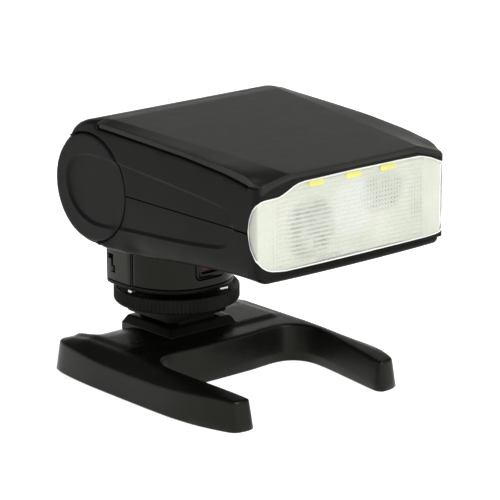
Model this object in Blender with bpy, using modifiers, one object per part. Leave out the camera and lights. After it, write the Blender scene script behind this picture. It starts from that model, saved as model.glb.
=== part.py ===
"""Compact camera flash on a small table stand, built as separate sub-parts.

Metres, +Z up.  The lens faces -Y, the width runs along X, and the origin is
on the table under the middle of the object's bounding box.  Dimensions are
written in millimetres and multiplied by MM where the geometry is made.
"""
import math

import bmesh
import bpy
from mathutils import Matrix, Vector

MM = 0.001
GAP = 0.3
HALF_W = 32.0            # half width of the head and the drum
DRUM_Y = 24.65           # tilt axis, which is also the drum's axis
DRUM_Z = 54.9
DRUM_R = 15.2
DRUM_BORE_R = 14.2
HINGE_X = -31.35         # hinge line of the battery door
CHEEK_R = 15.5           # radius of the head's hollow that hugs the drum
HEAD_WALL = 1.6
SEAM_Z = 55.3
FOOT_Y = 28.25           # axis of the locking ring and of the foot
RING_R = 17.2
RING_Z0 = 17.85
RING_Z1 = 22.1
CELL_R = 7.0
CELL_OFF = 7.1
CELL_LEN = 50.5
FOOT_W = 18.4
FOOT_L = 18.0
FOOT_Z0 = 8.4
FOOT_T = 1.9
SHOE_TOP = 12.0
LENS_Y = -42.9
LENS_Z0 = 44.7
LENS_Z1 = 67.6
STAND_X = 33.2
STAND_REAR = 44.2
STAND_TIP = -28.6
LED_X = (-12.0, 0.4, 12.0)
BUTTON_X = (-15.0, -8.5, -2.0)

PARTS = "speedlight_flash"
CUTTERS = "cutters"

for item in list(bpy.data.objects):
    bpy.data.objects.remove(item, do_unlink=True)

for coll_name in (PARTS, CUTTERS):
    if coll_name not in bpy.data.collections:
        bpy.context.scene.collection.children.link(bpy.data.collections.new(coll_name))


def material(name, color, rough=0.5, metal=0.0, alpha=1.0):
    """A Principled material of one colour."""
    mat = bpy.data.materials.new(name)
    mat.use_nodes = True
    shader = mat.node_tree.nodes["Principled BSDF"]
    shader.inputs["Base Color"].default_value = (*color, 1.0)
    shader.inputs["Roughness"].default_value = rough
    shader.inputs["Metallic"].default_value = metal
    shader.inputs["Alpha"].default_value = alpha
    return mat


COLORS = {
    "black": ((0.03, 0.03, 0.032), 0.45, 0.0, 1.0),
    "gloss": ((0.015, 0.015, 0.016), 0.12, 0.0, 1.0),
    "grey": ((0.09, 0.09, 0.095), 0.4, 0.0, 1.0),
    "rubber": ((0.05, 0.05, 0.055), 0.8, 0.0, 1.0),
    "steel": ((0.6, 0.6, 0.6), 0.3, 1.0, 1.0),
    "brass": ((0.7, 0.5, 0.2), 0.35, 1.0, 1.0),
    "gold": ((0.85, 0.62, 0.25), 0.3, 1.0, 1.0),
    "clear": ((0.9, 0.93, 0.88), 0.1, 0.0, 0.4),
    "mirror": ((0.85, 0.85, 0.85), 0.1, 1.0, 1.0),
    "phosphor": ((0.9, 0.8, 0.15), 0.5, 0.0, 1.0),
    "board": ((0.05, 0.2, 0.08), 0.5, 0.0, 1.0),
    "cell": ((0.1, 0.25, 0.5), 0.3, 0.0, 1.0),
    "white": ((0.85, 0.85, 0.82), 0.5, 0.0, 1.0),
    "red": ((0.35, 0.02, 0.02), 0.2, 0.0, 1.0),
}


def add_object(name, bm, slot=None):
    """Turn a bmesh in millimetres into a named object with outward faces."""
    bmesh.ops.recalc_face_normals(bm, faces=bm.faces[:])
    bmesh.ops.scale(bm, vec=(MM, MM, MM), verts=bm.verts[:])
    mesh = bpy.data.meshes.new(name)
    bm.to_mesh(mesh)
    bm.free()
    obj = bpy.data.objects.new(name, mesh)
    if slot is None:
        bpy.data.collections[CUTTERS].objects.link(obj)
        obj.hide_render = True
        obj.display_type = "WIRE"
    else:
        bpy.data.collections[PARTS].objects.link(obj)
        obj.data.materials.append(material(name, *COLORS[slot]))
    return obj


def prism(name, points, low, high, axis, slot=None):
    """Extrude a closed outline along X (y, z), Y (x, z) or Z (x, y)."""
    place = {"X": lambda p: (low, p[0], p[1]), "Y": lambda p: (p[0], low, p[1]),
             "Z": lambda p: (p[0], p[1], low)}
    along = {"X": (high - low, 0.0, 0.0), "Y": (0.0, high - low, 0.0), "Z": (0.0, 0.0, high - low)}
    bm = bmesh.new()
    base = bm.faces.new([bm.verts.new(place[axis](p)) for p in points])
    made = bmesh.ops.extrude_face_region(bm, geom=[base], use_keep_orig=True)["geom"]
    moved = [item for item in made if isinstance(item, bmesh.types.BMVert)]
    bmesh.ops.translate(bm, vec=along[axis], verts=moved)
    return add_object(name, bm, slot)


def loft(name, rings, slot=None):
    """Join closed rings of equal point count, with a flat face at each end."""
    bm = bmesh.new()
    rows = [[bm.verts.new(p) for p in ring] for ring in rings]
    n = len(rows[0])
    bm.faces.new(rows[0])
    bm.faces.new(rows[-1])
    for a, b in zip(rows, rows[1:]):
        for i in range(n):
            j = (i + 1) % n
            bm.faces.new((a[i], a[j], b[j], b[i]))
    return add_object(name, bm, slot)


def box(name, low, high, slot=None):
    """An axis-aligned box between two corners."""
    bm = bmesh.new()
    bmesh.ops.create_cube(bm, size=1.0)
    bmesh.ops.scale(bm, vec=[b - a for a, b in zip(low, high)], verts=bm.verts[:])
    bmesh.ops.translate(bm, vec=[(a + b) / 2.0 for a, b in zip(low, high)], verts=bm.verts[:])
    return add_object(name, bm, slot)


def arc(cx, cy, r, a0, a1, n):
    """Points of an arc from a0 to a1 degrees, both ends included."""
    out = []
    for i in range(n + 1):
        a = math.radians(a0 + (a1 - a0) * i / n)
        out.append((cx + r * math.cos(a), cy + r * math.sin(a)))
    return out


def rounded(x0, y0, x1, y1, r, n=5):
    """Points of a rectangle with rounded corners."""
    pts = arc(x1 - r, y1 - r, r, 0, 90, n)
    pts += arc(x0 + r, y1 - r, r, 90, 180, n)
    pts += arc(x0 + r, y0 + r, r, 180, 270, n)
    pts += arc(x1 - r, y0 + r, r, 270, 360, n)
    return pts


def cylinder(name, centre, r, low, high, axis, slot=None, n=32):
    """A cylinder along X, Y or Z; centre gives its other two coordinates."""
    turn = {"X": Matrix.Rotation(math.pi / 2, 4, "Y"), "Y": Matrix.Rotation(-math.pi / 2, 4, "X"),
            "Z": Matrix.Identity(4)}
    mid = (low + high) / 2.0
    place = {"X": (mid, *centre), "Y": (centre[0], mid, centre[1]), "Z": (*centre, mid)}
    bm = bmesh.new()
    matrix = Matrix.Translation(place[axis]) @ turn[axis]
    bmesh.ops.create_cone(bm, cap_ends=True, segments=n, radius1=r, radius2=r, depth=high - low,
                          matrix=matrix)
    return add_object(name, bm, slot)


def turned(name, profile, centre, axis, slot=None, n=48):
    """Turn a profile of (radius, station) points about an axis with Screw."""
    area = sum(a[0] * b[1] - b[0] * a[1] for a, b in zip(profile, profile[1:] + profile[:1]))
    if area > 0.0:
        profile = profile[::-1]
    solid = [i for i, p in enumerate(profile) if p[0] == 0.0]
    if len(solid) == 2 and solid != [0, len(profile) - 1]:
        profile = profile[solid[1]:] + profile[:solid[1]]
    bm = bmesh.new()
    verts = [bm.verts.new((r * MM, 0.0, s * MM)) for r, s in profile]
    for a, b in zip(verts, verts[1:]):
        bm.edges.new((a, b))
    if not solid:
        bm.edges.new((verts[-1], verts[0]))
    mesh = bpy.data.meshes.new(name)
    bm.to_mesh(mesh)
    bm.free()
    obj = bpy.data.objects.new(name, mesh)
    obj.data.materials.append(material(name, *COLORS[slot]))
    bpy.data.collections[PARTS].objects.link(obj)
    screw = obj.modifiers.new("turn", "SCREW")
    screw.axis = "Z"
    screw.angle = 2.0 * math.pi
    screw.steps = n
    screw.render_steps = n
    screw.use_merge_vertices = True
    screw.merge_threshold = 0.00001
    screw.use_smooth_shade = False
    obj.rotation_euler = {"X": (0.0, math.pi / 2, 0.0), "Y": (-math.pi / 2, 0.0, 0.0),
                          "Z": (0.0, 0.0, 0.0)}[axis]
    place = {"X": (0.0, *centre), "Y": (centre[0], 0.0, centre[1]), "Z": (*centre, 0.0)}
    obj.location = Vector(place[axis]) * MM
    return obj


def boolean(target, cutter, operation="DIFFERENCE"):
    """Add an exact Boolean that uses another object."""
    mod = target.modifiers.new(operation.lower(), "BOOLEAN")
    mod.operation = operation
    mod.solver = "EXACT"
    mod.object = cutter
    return mod


def bevel(target, width, segments=2, angle=35.0):
    """Round the sharp edges of an object."""
    mod = target.modifiers.new("round", "BEVEL")
    mod.width = width * MM
    mod.segments = segments
    mod.limit_method = "ANGLE"
    mod.angle_limit = math.radians(angle)
    mod.harden_normals = False
    return mod


def set_origin(obj, point):
    """Move an object's origin without moving its mesh."""
    shift = Vector(point) * MM
    obj.data.transform(Matrix.Translation(-shift))
    obj.location = shift


def group(name, point, nodes):
    """Hang a rigid body's nodes on an empty that sits on its joint's axis."""
    empty = bpy.data.objects.new(name, None)
    empty.empty_display_size = 5.0 * MM
    empty.location = Vector(point) * MM
    bpy.data.collections[PARTS].objects.link(empty)
    for node in nodes:
        child = bpy.data.objects[node]
        child.parent = empty
        child.matrix_parent_inverse = Matrix.Translation(-empty.location)
    return empty


def mirror_outline(half):
    """Close an outline that starts and ends near x = 0 by mirroring it in x."""
    return half + [(-x, y) for x, y in reversed(half)]


# ---------------------------------------------------------------- stand

def inset_ring(points, weights, amount, z):
    """Move each outline point inwards along its normal, weighted."""
    n = len(points)
    ring = []
    for i in range(n):
        px, py = points[i - 1]
        nx, ny = points[(i + 1) % n]
        tx, ty = nx - px, ny - py
        length = math.hypot(tx, ty)
        w = weights[i] * amount
        ring.append((points[i][0] - ty / length * w, points[i][1] + tx / length * w, z))
    return ring


def stand_outline():
    """Half outline from the front of the bridge, round a leg, to the rear."""
    half = [(5.0, 7.0), (14.0, 7.0), (20.0, 7.0), (23.6, 5.8), (25.6, 3.2), (26.3, 0.0)]
    half += [(25.6, -6.0), (24.6, -13.7), (23.2, -21.0), (22.2, -26.0), (22.6, -28.0)]
    half += [(24.2, STAND_TIP), (26.2, -28.4), (28.4, -27.0), (30.0, -23.6), (31.6, -18.4)]
    half += [(32.9, -10.0), (STAND_X, 2.0), (STAND_X, 15.0), (32.5, 28.0), (31.2, 38.6)]
    half += [(29.8, 42.6), (27.4, STAND_REAR), (24.4, 43.6), (21.6, 40.6), (18.0, 39.2), (8.0, 38.8)]
    pts = [(-x, y) for x, y in half] + list(reversed(half))
    return pts


def make_stand():
    """U-shaped stand whose bridge rises above its two legs."""
    pts = stand_outline()
    weights = [0.5 if y < -24.0 else 1.0 for x, y in pts]
    levels = ((0.3, 1.0), (0.0, 1.6), (0.3, 5.2), (0.9, 7.2), (1.7, 8.4), (2.5, 8.9))
    rings = [inset_ring(pts, weights, -inset, z) for inset, z in levels]
    stand = loft("stand_body", rings, "black")
    pad_low = rounded(-26.4, 7.1, 26.4, 38.2, 4.0)
    pad_high = rounded(-24.8, 7.5, 24.8, 37.0, 4.0)
    pad = loft("cut_pad", [[(x, y, 5.0) for x, y in pad_low], [(x, y, 10.6) for x, y in pad_high]])
    boolean(stand, pad, "UNION")
    pocket = box("cut_shoe_pocket", (-11.9, 16.3, 6.2), (11.9, 60.0, 20.0))
    boolean(stand, pocket)
    insert = cylinder("cut_insert", (0.0, 26.0), 4.3, -1.0, 5.4, "Z")
    boolean(stand, insert)
    for i, (x, y) in enumerate(FEET):
        hole = cylinder("cut_foot_%d" % i, (x, y), 2.9, -1.0, 1.9, "Z", None, 24)
        boolean(stand, hole)
    return stand


FEET = ((-26.6, -22.6), (26.6, -22.6), (-27.0, 37.4), (27.0, 37.4))


def make_feet():
    """Round rubber feet that stand 1 mm below the stand."""
    for i, (x, y) in enumerate(FEET):
        profile = [(0.0, 0.0), (2.2, 0.0), (2.6, 0.4), (2.6, 1.6), (0.0, 1.6)]
        turned("rubber_foot_%d" % (i + 1), profile, (x, y), "Z", "rubber", 24)


def make_shoe():
    """Accessory shoe: a U-shaped rim closed in front and open at the rear."""
    low = [(-11.6, 16.6), (11.6, 16.6), (11.6, 38.2), (-11.6, 38.2)]
    mid = [(-11.6, 16.6), (11.6, 16.6), (11.6, 38.2), (-11.6, 38.2)]
    top = [(-11.2, 17.0), (11.2, 17.0), (11.2, 38.0), (-11.2, 38.0)]
    rings = [[(x, y, 6.5) for x, y in low], [(x, y, 10.4) for x, y in mid],
             [(x, y, SHOE_TOP) for x, y in top]]
    shoe = loft("stand_shoe", rings, "black")
    boolean(shoe, box("cut_slot", (-9.45, 18.8, FOOT_Z0 - 0.2), (9.45, 60.0, FOOT_Z0 + FOOT_T + 0.2)))
    boolean(shoe, box("cut_lips", (-6.6, 18.8, 9.0), (6.6, 60.0, 20.0)))
    boolean(shoe, cylinder("cut_pin_hole", (0.0, 23.6), 1.4, 6.9, 9.5, "Z", None, 20))
    return shoe


def make_tripod_insert():
    """Brass thread insert with a 1/4-20 bore (5.2 mm tapping size)."""
    profile = [(2.6, 1.2), (4.0, 1.2), (4.0, 5.1), (2.6, 5.1)]
    turned("tripod_insert", profile, (0.0, 26.0), "Z", "brass", 32)


# ---------------------------------------------------------------- foot and ring

def make_foot():
    """Shoe foot: a plate, a narrow stem and the block below the ring."""
    outline = rounded(-FOOT_W / 2, FOOT_Y - FOOT_L / 2, FOOT_W / 2, FOOT_Y + FOOT_L / 2, 0.8, 2)
    plate = prism("shoe_foot", outline, FOOT_Z0, FOOT_Z0 + FOOT_T, "Z", "grey")
    y0, y1 = FOOT_Y - 8.7, FOOT_Y + 8.7
    stem = [(-6.2, y0), (6.2, y0), (6.2, y1), (-6.2, y1)]
    wide = [(-10.4, y0 - 0.4), (10.4, y0 - 0.4), (10.4, y1), (-10.4, y1)]
    rings = [[(x, y, 9.4) for x, y in stem], [(x, y, 12.4) for x, y in stem]]
    rings += [[(x, y, 13.4) for x, y in wide], [(x, y, 17.5) for x, y in wide]]
    boolean(plate, loft("cut_stem", rings), "UNION")
    boolean(plate, cylinder("cut_neck", (0.0, FOOT_Y), 6.0, 16.0, 22.3, "Z"), "UNION")
    for i, (x, y) in enumerate(CONTACTS):
        boolean(plate, cylinder("cut_contact_%d" % i, (x, y), 1.05, 7.0, 11.0, "Z", None, 16))
    boolean(plate, cylinder("cut_lock", (0.0, 23.6), 1.15, 7.0, 15.0, "Z", None, 20))
    return plate


CONTACTS = ((0.0, 28.2), (-4.3, 31.6), (4.3, 31.6), (-4.3, 26.4), (4.3, 26.4))


def make_contacts():
    """Gold contact pins flush with the underside of the foot."""
    for i, (x, y) in enumerate(CONTACTS):
        profile = [(0.0, 8.3), (0.55, 8.3), (0.9, 8.6), (0.9, 10.8), (0.0, 10.8)]
        turned("contact_pin_%d" % (i + 1), profile, (x, y), "Z", "gold", 16)


def make_lock_pin():
    """Locking pin that the ring pushes down into the shoe."""
    profile = [(0.0, 8.5), (0.6, 8.5), (0.95, 8.9), (0.95, 14.0), (0.0, 14.0)]
    turned("lock_pin", profile, (0.0, 23.6), "Z", "steel", 20)


def make_ring():
    """Knurled locking ring round the foot's neck."""
    profile = [(6.4, RING_Z0), (RING_R - 0.5, RING_Z0), (RING_R, RING_Z0 + 0.5), (RING_R, RING_Z1 - 0.4)]
    profile += [(RING_R - 0.4, RING_Z1), (RING_R - 1.4, RING_Z1), (RING_R - 1.5, RING_Z1 - 0.6),
                (6.4, RING_Z1 - 0.6)]
    turned("locking_ring", profile, (0.0, FOOT_Y), "Z", "black", 96)


# ---------------------------------------------------------------- neck

def neck_outline(grow=0.0):
    """Half plan outline of the neck, front to rear, mirrored in x."""
    half = [(2.6, 13.6), (7.0, 14.6), (10.9, 17.2), (13.6, 20.8), (15.2, 24.8), (16.0, 29.0)]
    half += [(16.0, 33.0), (15.6, 37.0), (14.6, 39.8), (12.6, 41.0), (6.0, 41.4)]
    full = mirror_outline(half)
    out = []
    for x, y in full:
        dx, dy = x, y - 28.0
        length = math.hypot(dx, dy)
        out.append((x + dx / length * grow, y + dy / length * grow))
    return out


def drum_cutter(name, r, low=-60.0, high=60.0):
    """A cylinder about the tilt axis."""
    return cylinder(name, (DRUM_Y, DRUM_Z), r, low, high, "X", None, 72)


def make_neck():
    """Neck housing between the ring and the drum, hollow inside."""
    rings = [[(x, y, 22.7) for x, y in neck_outline(-0.5)]]
    rings += [[(x, y, 23.2) for x, y in neck_outline()]]
    rings += [[(x, y, 36.0) for x, y in neck_outline()]]
    rings += [[(x * 0.97, 24.0 + (y - 24.0) * (0.9 if y > 24.0 else 1.0), 45.5) for x, y in neck_outline()]]
    neck = loft("neck_housing", rings, "black")
    boolean(neck, drum_cutter("cut_neck_top", DRUM_R + 0.25))
    boolean(neck, box("cut_neck_front", (-20.0, 0.0, 38.6), (20.0, 21.2, 60.0)))
    inner = [[(x, y, 24.6) for x, y in neck_outline(-2.6)], [(x, y, 37.4) for x, y in neck_outline(-2.6)]]
    boolean(neck, loft("cut_neck_inner", inner))
    boolean(neck, cylinder("cut_neck_hole", (0.0, FOOT_Y), 4.0, 20.0, 26.0, "Z", None, 24))
    for side in (-1, 1):
        boolean(neck, side_recess(side))
    boolean(neck, window_recess())
    boolean(neck, box("cut_tabs", (-17.4, 26.9, 21.0), (-14.2, 29.1, 23.4)))
    boolean(neck, box("cut_tab_2", (3.0, 12.0, 21.0), (6.4, 15.8, 23.4)))
    return neck


def neck_band(name, low_in, low_out, z0, z1, x_range, y_range, slot=None):
    """A slice of the neck's skin between two offsets of its outline."""
    outer = [[(x, y, z0) for x, y in neck_outline(low_out)], [(x, y, z1) for x, y in neck_outline(low_out)]]
    inner = [[(x, y, z0 - 5.0) for x, y in neck_outline(low_in)], [(x, y, z1 + 5.0) for x,
                                                                   y in neck_outline(low_in)]]
    band = loft(name, outer, slot)
    boolean(band, loft("cut_in_" + name, inner))
    keep = box("cut_keep_" + name, (x_range[0], y_range[0], z0 - 1.0), (x_range[1], y_range[1], z1 + 1.0))
    boolean(band, keep, "INTERSECT")
    return band


def side_recess(side):
    """Pocket in the neck for a side panel."""
    xs = (-30.0, -13.2) if side < 0 else (13.2, 30.0)
    return neck_band("cut_side_%d" % side, -1.5, 3.0, 23.8, 36.6, xs, (28.0, 39.4))


def make_side_panels():
    """Satin grey panels on both sides of the neck."""
    for side, word in ((-1, "left"), (1, "right")):
        xs = (-30.0, -13.4) if side < 0 else (13.4, 30.0)
        panel = neck_band("side_panel_" + word, -1.2, -0.1, 24.1, 36.3, xs, (28.3, 39.1), "grey")
        if side < 0:
            boolean(panel, box("cut_switch_slot", (-18.0, 34.6, 25.7), (-10.0, 37.2, 31.3)))
    slot = box("cut_switch_pocket", (-17.5, 34.4, 25.5), (-12.4, 37.4, 31.5))
    boolean(bpy.data.objects["neck_housing"], slot)


def make_side_switch():
    """Small sliding button in the left side panel's slot."""
    switch = box("side_switch", (-15.9, 35.0, 26.0), (-13.6, 36.8, 28.4), "grey")
    bevel(switch, 0.3, 1)
    set_origin(switch, (-15.0, 35.9, 27.2))


def window_recess():
    """Pocket in the neck's front for the dark window."""
    return neck_band("cut_window", -1.5, 3.0, 24.0, 40.0, (-14.6, 14.6), (0.0, 20.4))


def make_window():
    """Glossy dark window that wraps round the front of the neck."""
    window = neck_band("front_window", -1.2, -0.05, 24.3, 38.3, (-14.3, 14.3), (0.0, 20.1), "gloss")
    boolean(window, prism("cut_bezel", rounded(-4.9, 26.3, 4.9, 36.3, 1.5), 5.0, 30.0, "Y"))
    boolean(bpy.data.objects["neck_housing"], prism("cut_sensor", rounded(-3.6, 27.6, 3.6, 35.0, 1.0), 5.0,
                                                    20.0, "Y"))


def make_sensor():
    """Framed sensor lens in the window, with its light source behind."""
    bezel = prism("sensor_bezel", rounded(-4.6, 26.6, 4.6, 36.0, 1.3), 13.75, 14.55, "Y", "black")
    boolean(bezel, prism("cut_bezel_in", rounded(-3.3, 27.9, 3.3, 34.7, 0.8), 5.0, 30.0, "Y"))
    prism("sensor_lens", rounded(-3.0, 28.2, 3.0, 34.4, 0.6), 13.85, 14.9, "Y", "red")
    box("sensor_emitter", (-1.5, 15.4, 29.8), (1.5, 16.3, 32.8), "white")


def make_neck_board():
    """Upright circuit board inside the neck."""
    box("neck_board", (-9.0, 21.0, 26.0), (9.0, 22.2, 36.8), "board")


def make_tabs():
    """Two bright metal spring tabs between the neck and the ring."""
    box("ring_tab_left", (-16.3, 27.2, 22.3), (-14.5, 28.8, 23.1), "steel")
    box("ring_tab_front", (3.3, 13.9, 22.3), (6.1, 15.5, 23.1), "steel")


# ---------------------------------------------------------------- drum

def make_drum():
    """Drum that holds the two cells, open at the left under the door."""
    profile = [(0.0, 25.6), (DRUM_BORE_R, 25.6), (DRUM_BORE_R, -29.3), (DRUM_R, -29.3), (DRUM_R, 27.0),
               (0.0, 27.0)]
    drum = turned("drum_shell", profile, (DRUM_Y, DRUM_Z), "X", "black", 72)
    for i, z in enumerate((4.3, -5.3)):
        ear = box("cut_ear_%d" % i, (HINGE_X - 0.5, DRUM_Y + 13.2, DRUM_Z + z),
                  (-28.8, DRUM_Y + 14.5, DRUM_Z + z + 1.0))
        boolean(drum, ear, "UNION")
    boolean(drum, cylinder("cut_hinge_bore", (HINGE_X, DRUM_Y + 13.85), 0.32, 45.0, 65.0, "Z", None, 16))
    boolean(drum, sector("cut_panel_seat", 14.75, 16.0, -46.0, 46.0, -21.6, 21.6))
    for i, x in enumerate(BUTTON_X + (6.0,)):
        boolean(drum, cylinder("cut_drum_button_%d" % i, (x, DRUM_Z), 2.55, 30.0, 45.0, "Y", None, 24))
    boolean(drum, box("cut_drum_switch", (10.6, 34.0, DRUM_Z - 1.8), (19.4, 45.0, DRUM_Z + 1.8)))
    boolean(drum, cylinder("cut_drum_lamp", (-2.0, DRUM_Z + 6.0), 1.1, 34.0, 45.0, "Y", None, 16))
    return drum


def sector(name, r0, r1, a0, a1, low, high, slot=None):
    """A curved plate about the tilt axis between two angles."""
    outline = arc(DRUM_Y, DRUM_Z, r1, a0, a1, 14) + arc(DRUM_Y, DRUM_Z, r0, a1, a0, 14)
    return prism(name, outline, low, high, "X", slot)


def make_control_panel():
    """Curved control panel on the back of the drum."""
    panel = sector("control_panel", 14.85, 15.12, -45.0, 45.0, -21.3, 21.3, "gloss")
    for i, x in enumerate(BUTTON_X + (6.0,)):
        boolean(panel, cylinder("cut_panel_button_%d" % i, (x, DRUM_Z), 2.5, 30.0, 45.0, "Y", None, 24))
    boolean(panel, box("cut_panel_switch", (10.8, 34.0, DRUM_Z - 1.6), (19.2, 45.0, DRUM_Z + 1.6)))
    boolean(panel, cylinder("cut_panel_lamp", (-2.0, DRUM_Z + 6.0), 1.05, 34.0, 45.0, "Y", None, 16))


def make_controls():
    """Push buttons, ready lamp, power slider and their circuit board."""
    names = ("mode_button", "minus_button", "plus_button", "test_button")
    for name, x in zip(names, BUTTON_X + (6.0,)):
        profile = [(0.0, 37.0), (2.2, 37.0), (2.2, 39.7), (1.9, 39.9), (0.0, 39.9)]
        turned(name, profile, (x, DRUM_Z), "Y", "grey", 24)
    switch = box("power_switch", (11.3, 37.4, DRUM_Z - 1.2), (15.3, 39.9, DRUM_Z + 1.2), "grey")
    bevel(switch, 0.3, 1)
    set_origin(switch, (13.3, 37.4, DRUM_Z))
    lamp = [(0.0, 36.6), (0.85, 36.6), (0.85, 38.2), (0.5, 38.6), (0.0, 38.6)]
    turned("ready_lamp", lamp, (-2.0, DRUM_Z + 6.0), "Y", "red", 16)
    box("switch_board", (-19.0, 34.4, DRUM_Z - 4.4), (19.5, 35.4, DRUM_Z + 4.4), "board")


def dish(name, x_low, x_high):
    """Rounded-square hollow in the middle of an end disc."""
    outline = rounded(DRUM_Y - 9.8, DRUM_Z - 9.6, DRUM_Y + 8.6, DRUM_Z + 9.4, 4.5)
    return prism(name, outline, x_low, x_high, "X")


def make_end_cap():
    """Fixed disc that closes the drum on the right and carries the tilt ring."""
    profile = [(0.0, 27.3), (8.4, 27.3), (8.4, 29.0), (15.1, 29.0), (15.1, 31.0), (14.1, HALF_W),
               (0.0, HALF_W)]
    cap = turned("end_cap", profile, (DRUM_Y, DRUM_Z), "X", "black", 72)
    boolean(cap, dish("cut_dish_right", 31.3, 40.0))


def make_tilt_ring():
    """Steel ring that turns on the end cap's hub and joins the head."""
    profile = [(8.8, 27.4), (15.0, 27.4), (15.0, 28.6), (8.8, 28.6)]
    ring = turned("tilt_ring", profile, (DRUM_Y, DRUM_Z), "X", "steel", 72)
    boolean(ring, box("cut_lug", (27.5, 3.6, 49.4), (28.5, 11.6, 53.6)), "UNION")


def make_battery_door():
    """Hinged disc on the left that closes the cell bay."""
    x_in = -29.6
    profile = [(0.0, x_in), (15.1, x_in), (15.1, -31.0), (14.1, -HALF_W), (0.0, -HALF_W)]
    door = turned("battery_door", profile, (DRUM_Y, DRUM_Z), "X", "black", 72)
    boolean(door, dish("cut_dish_left", -40.0, -31.3))
    boolean(door, box("cut_door_flat", (-40.0, DRUM_Y + 14.5, 30.0), (-20.0, DRUM_Y + 20.0, 80.0)))
    for i, z in enumerate((4.1, -5.6)):
        notch = box("cut_notch_%d" % i, (-40.0, DRUM_Y + 12.3, DRUM_Z + z),
                    (-20.0, DRUM_Y + 20.0, DRUM_Z + z + 1.5))
        boolean(door, notch)
    boolean(door, cylinder("cut_door_bore", (HINGE_X, DRUM_Y + 13.85), 0.32, 45.0, 65.0, "Z", None, 16))
    contact = rounded(DRUM_Y - 4.0, DRUM_Z - 11.0, DRUM_Y + 4.0, DRUM_Z + 11.0, 1.5, 3)
    prism("door_contact", contact, -29.3, -28.9, "X", "steel")
    cylinder("door_hinge_pin", (HINGE_X, DRUM_Y + 13.85), 0.26, DRUM_Z - 5.2, DRUM_Z + 5.2, "Z", "steel", 16)


def make_cells():
    """Two AA cells, one above the other, pointing opposite ways."""
    for name, sign, z in (("cell_upper", 1, CELL_OFF), ("cell_lower", -1, -CELL_OFF)):
        body = [(0.0, -24.75), (6.6, -24.75), (CELL_R, -24.3), (CELL_R, 24.3), (6.6, 24.75)]
        body += [(2.75, 24.75), (2.75, 25.75), (0.0, 25.75)]
        profile = [(r, sign * s - 2.6) for r, s in body]
        turned(name, profile, (DRUM_Y, DRUM_Z + z), "X", "cell", 40)


def make_cell_contacts():
    """Spring and plate that meet the cells at the closed end."""
    plate = rounded(DRUM_Y - 4.0, DRUM_Z + 3.0, DRUM_Y + 4.0, DRUM_Z + 11.0, 1.2, 3)
    prism("contact_plate", plate, 24.4, 24.8, "X", "steel")
    curve = bpy.data.curves.new("contact_spring", "CURVE")
    curve.dimensions = "3D"
    curve.bevel_depth = 0.28 * MM
    curve.bevel_resolution = 1
    curve.use_fill_caps = True
    spline = curve.splines.new("POLY")
    turns, steps = 2.5, 50
    spline.points.add(steps)
    for i in range(steps + 1):
        t = i / steps
        a = 2.0 * math.pi * turns * t
        r = 2.4 + 2.0 * t
        x = 22.75 + 2.3 * t
        y = DRUM_Y + r * math.cos(a)
        z = DRUM_Z - CELL_OFF + r * math.sin(a)
        spline.points[i].co = (x * MM, y * MM, z * MM, 1.0)
    obj = bpy.data.objects.new("contact_spring", curve)
    obj.data.materials.append(material("contact_spring", *COLORS["steel"]))
    bpy.data.collections[PARTS].objects.link(obj)


# ---------------------------------------------------------------- head

def cover_edge(y):
    """Height of the cover's side edge at a station y."""
    table = ((-44.5, 67.7), (-38.0, 69.0), (-29.0, 70.2), (-14.0, 71.5), (0.8, 72.2), (21.0, 73.0))
    for (y0, z0), (y1, z1) in zip(table, table[1:]):
        if y <= y1:
            return z0 + (z1 - z0) * (y - y0) / (y1 - y0)
    return table[-1][1]


def cover_top(y):
    """Height of the cover's flat top at a station y."""
    return 69.95 + (73.8 - 69.95) * (y + 43.0) / 64.0


def cover_half(y):
    """Half width of the cover's flat top at a station y."""
    return 22.0 + 7.0 * (y + 43.0) / 64.0


def make_top_cover():
    """Top cover with chamfered sides and a brow over the lens."""
    rings = []
    for y in (-44.3, -42.8, -36.0, -26.0, -12.0, 2.0, 12.0, 20.9):
        edge = cover_edge(y)
        top = cover_top(y)
        half = cover_half(y)
        wide = HALF_W if y > -40.0 else HALF_W - 0.5
        low = edge - 1.9
        if y < -43.5:
            low = edge - 0.2
            top -= 0.8
            wide = 30.6
        ring = [(-wide, y, low), (-wide, y, edge), (-half, y, top), (half, y, top), (wide, y, edge),
                (wide, y, low)]
        ring += [(half, y, top - 1.9), (-half, y, top - 1.9)]
        rings.append(ring)
    loft("top_cover", rings, "black")


def head_outline_upper():
    """Side outline (y, z) of the upper shell."""
    pts = arc(DRUM_Y, DRUM_Z, CHEEK_R, 178.5, 62.0, 26)
    pts += [(32.3, 69.3), (30.9, 70.4), (28.6, 71.6), (26.0, 72.6), (24.0, 73.1), (21.2, 73.2), (21.2, 70.8)]
    pts += [(12.0, 70.2), (0.8, 69.9), (-14.0, 69.2), (-29.0, 67.9), (-38.8, 66.4), (-38.8, SEAM_Z)]
    return pts


def head_outline_lower():
    """Side outline (y, z) of the lower shell."""
    seam = SEAM_Z - GAP
    pts = arc(DRUM_Y, DRUM_Z, CHEEK_R, 180.0, 258.0, 20)
    pts += [(21.0, 39.4), (19.4, 39.0), (17.0, 38.95), (8.0, 39.4), (-0.75, 40.0), (-20.75, 42.1),
            (-36.75, 43.2), (-43.0, 42.9)]
    pts += [(-43.8, 43.2), (-43.9, 43.8), (-43.4, 44.35), (-38.8, 44.4), (-38.8, seam)]
    return pts


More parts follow.
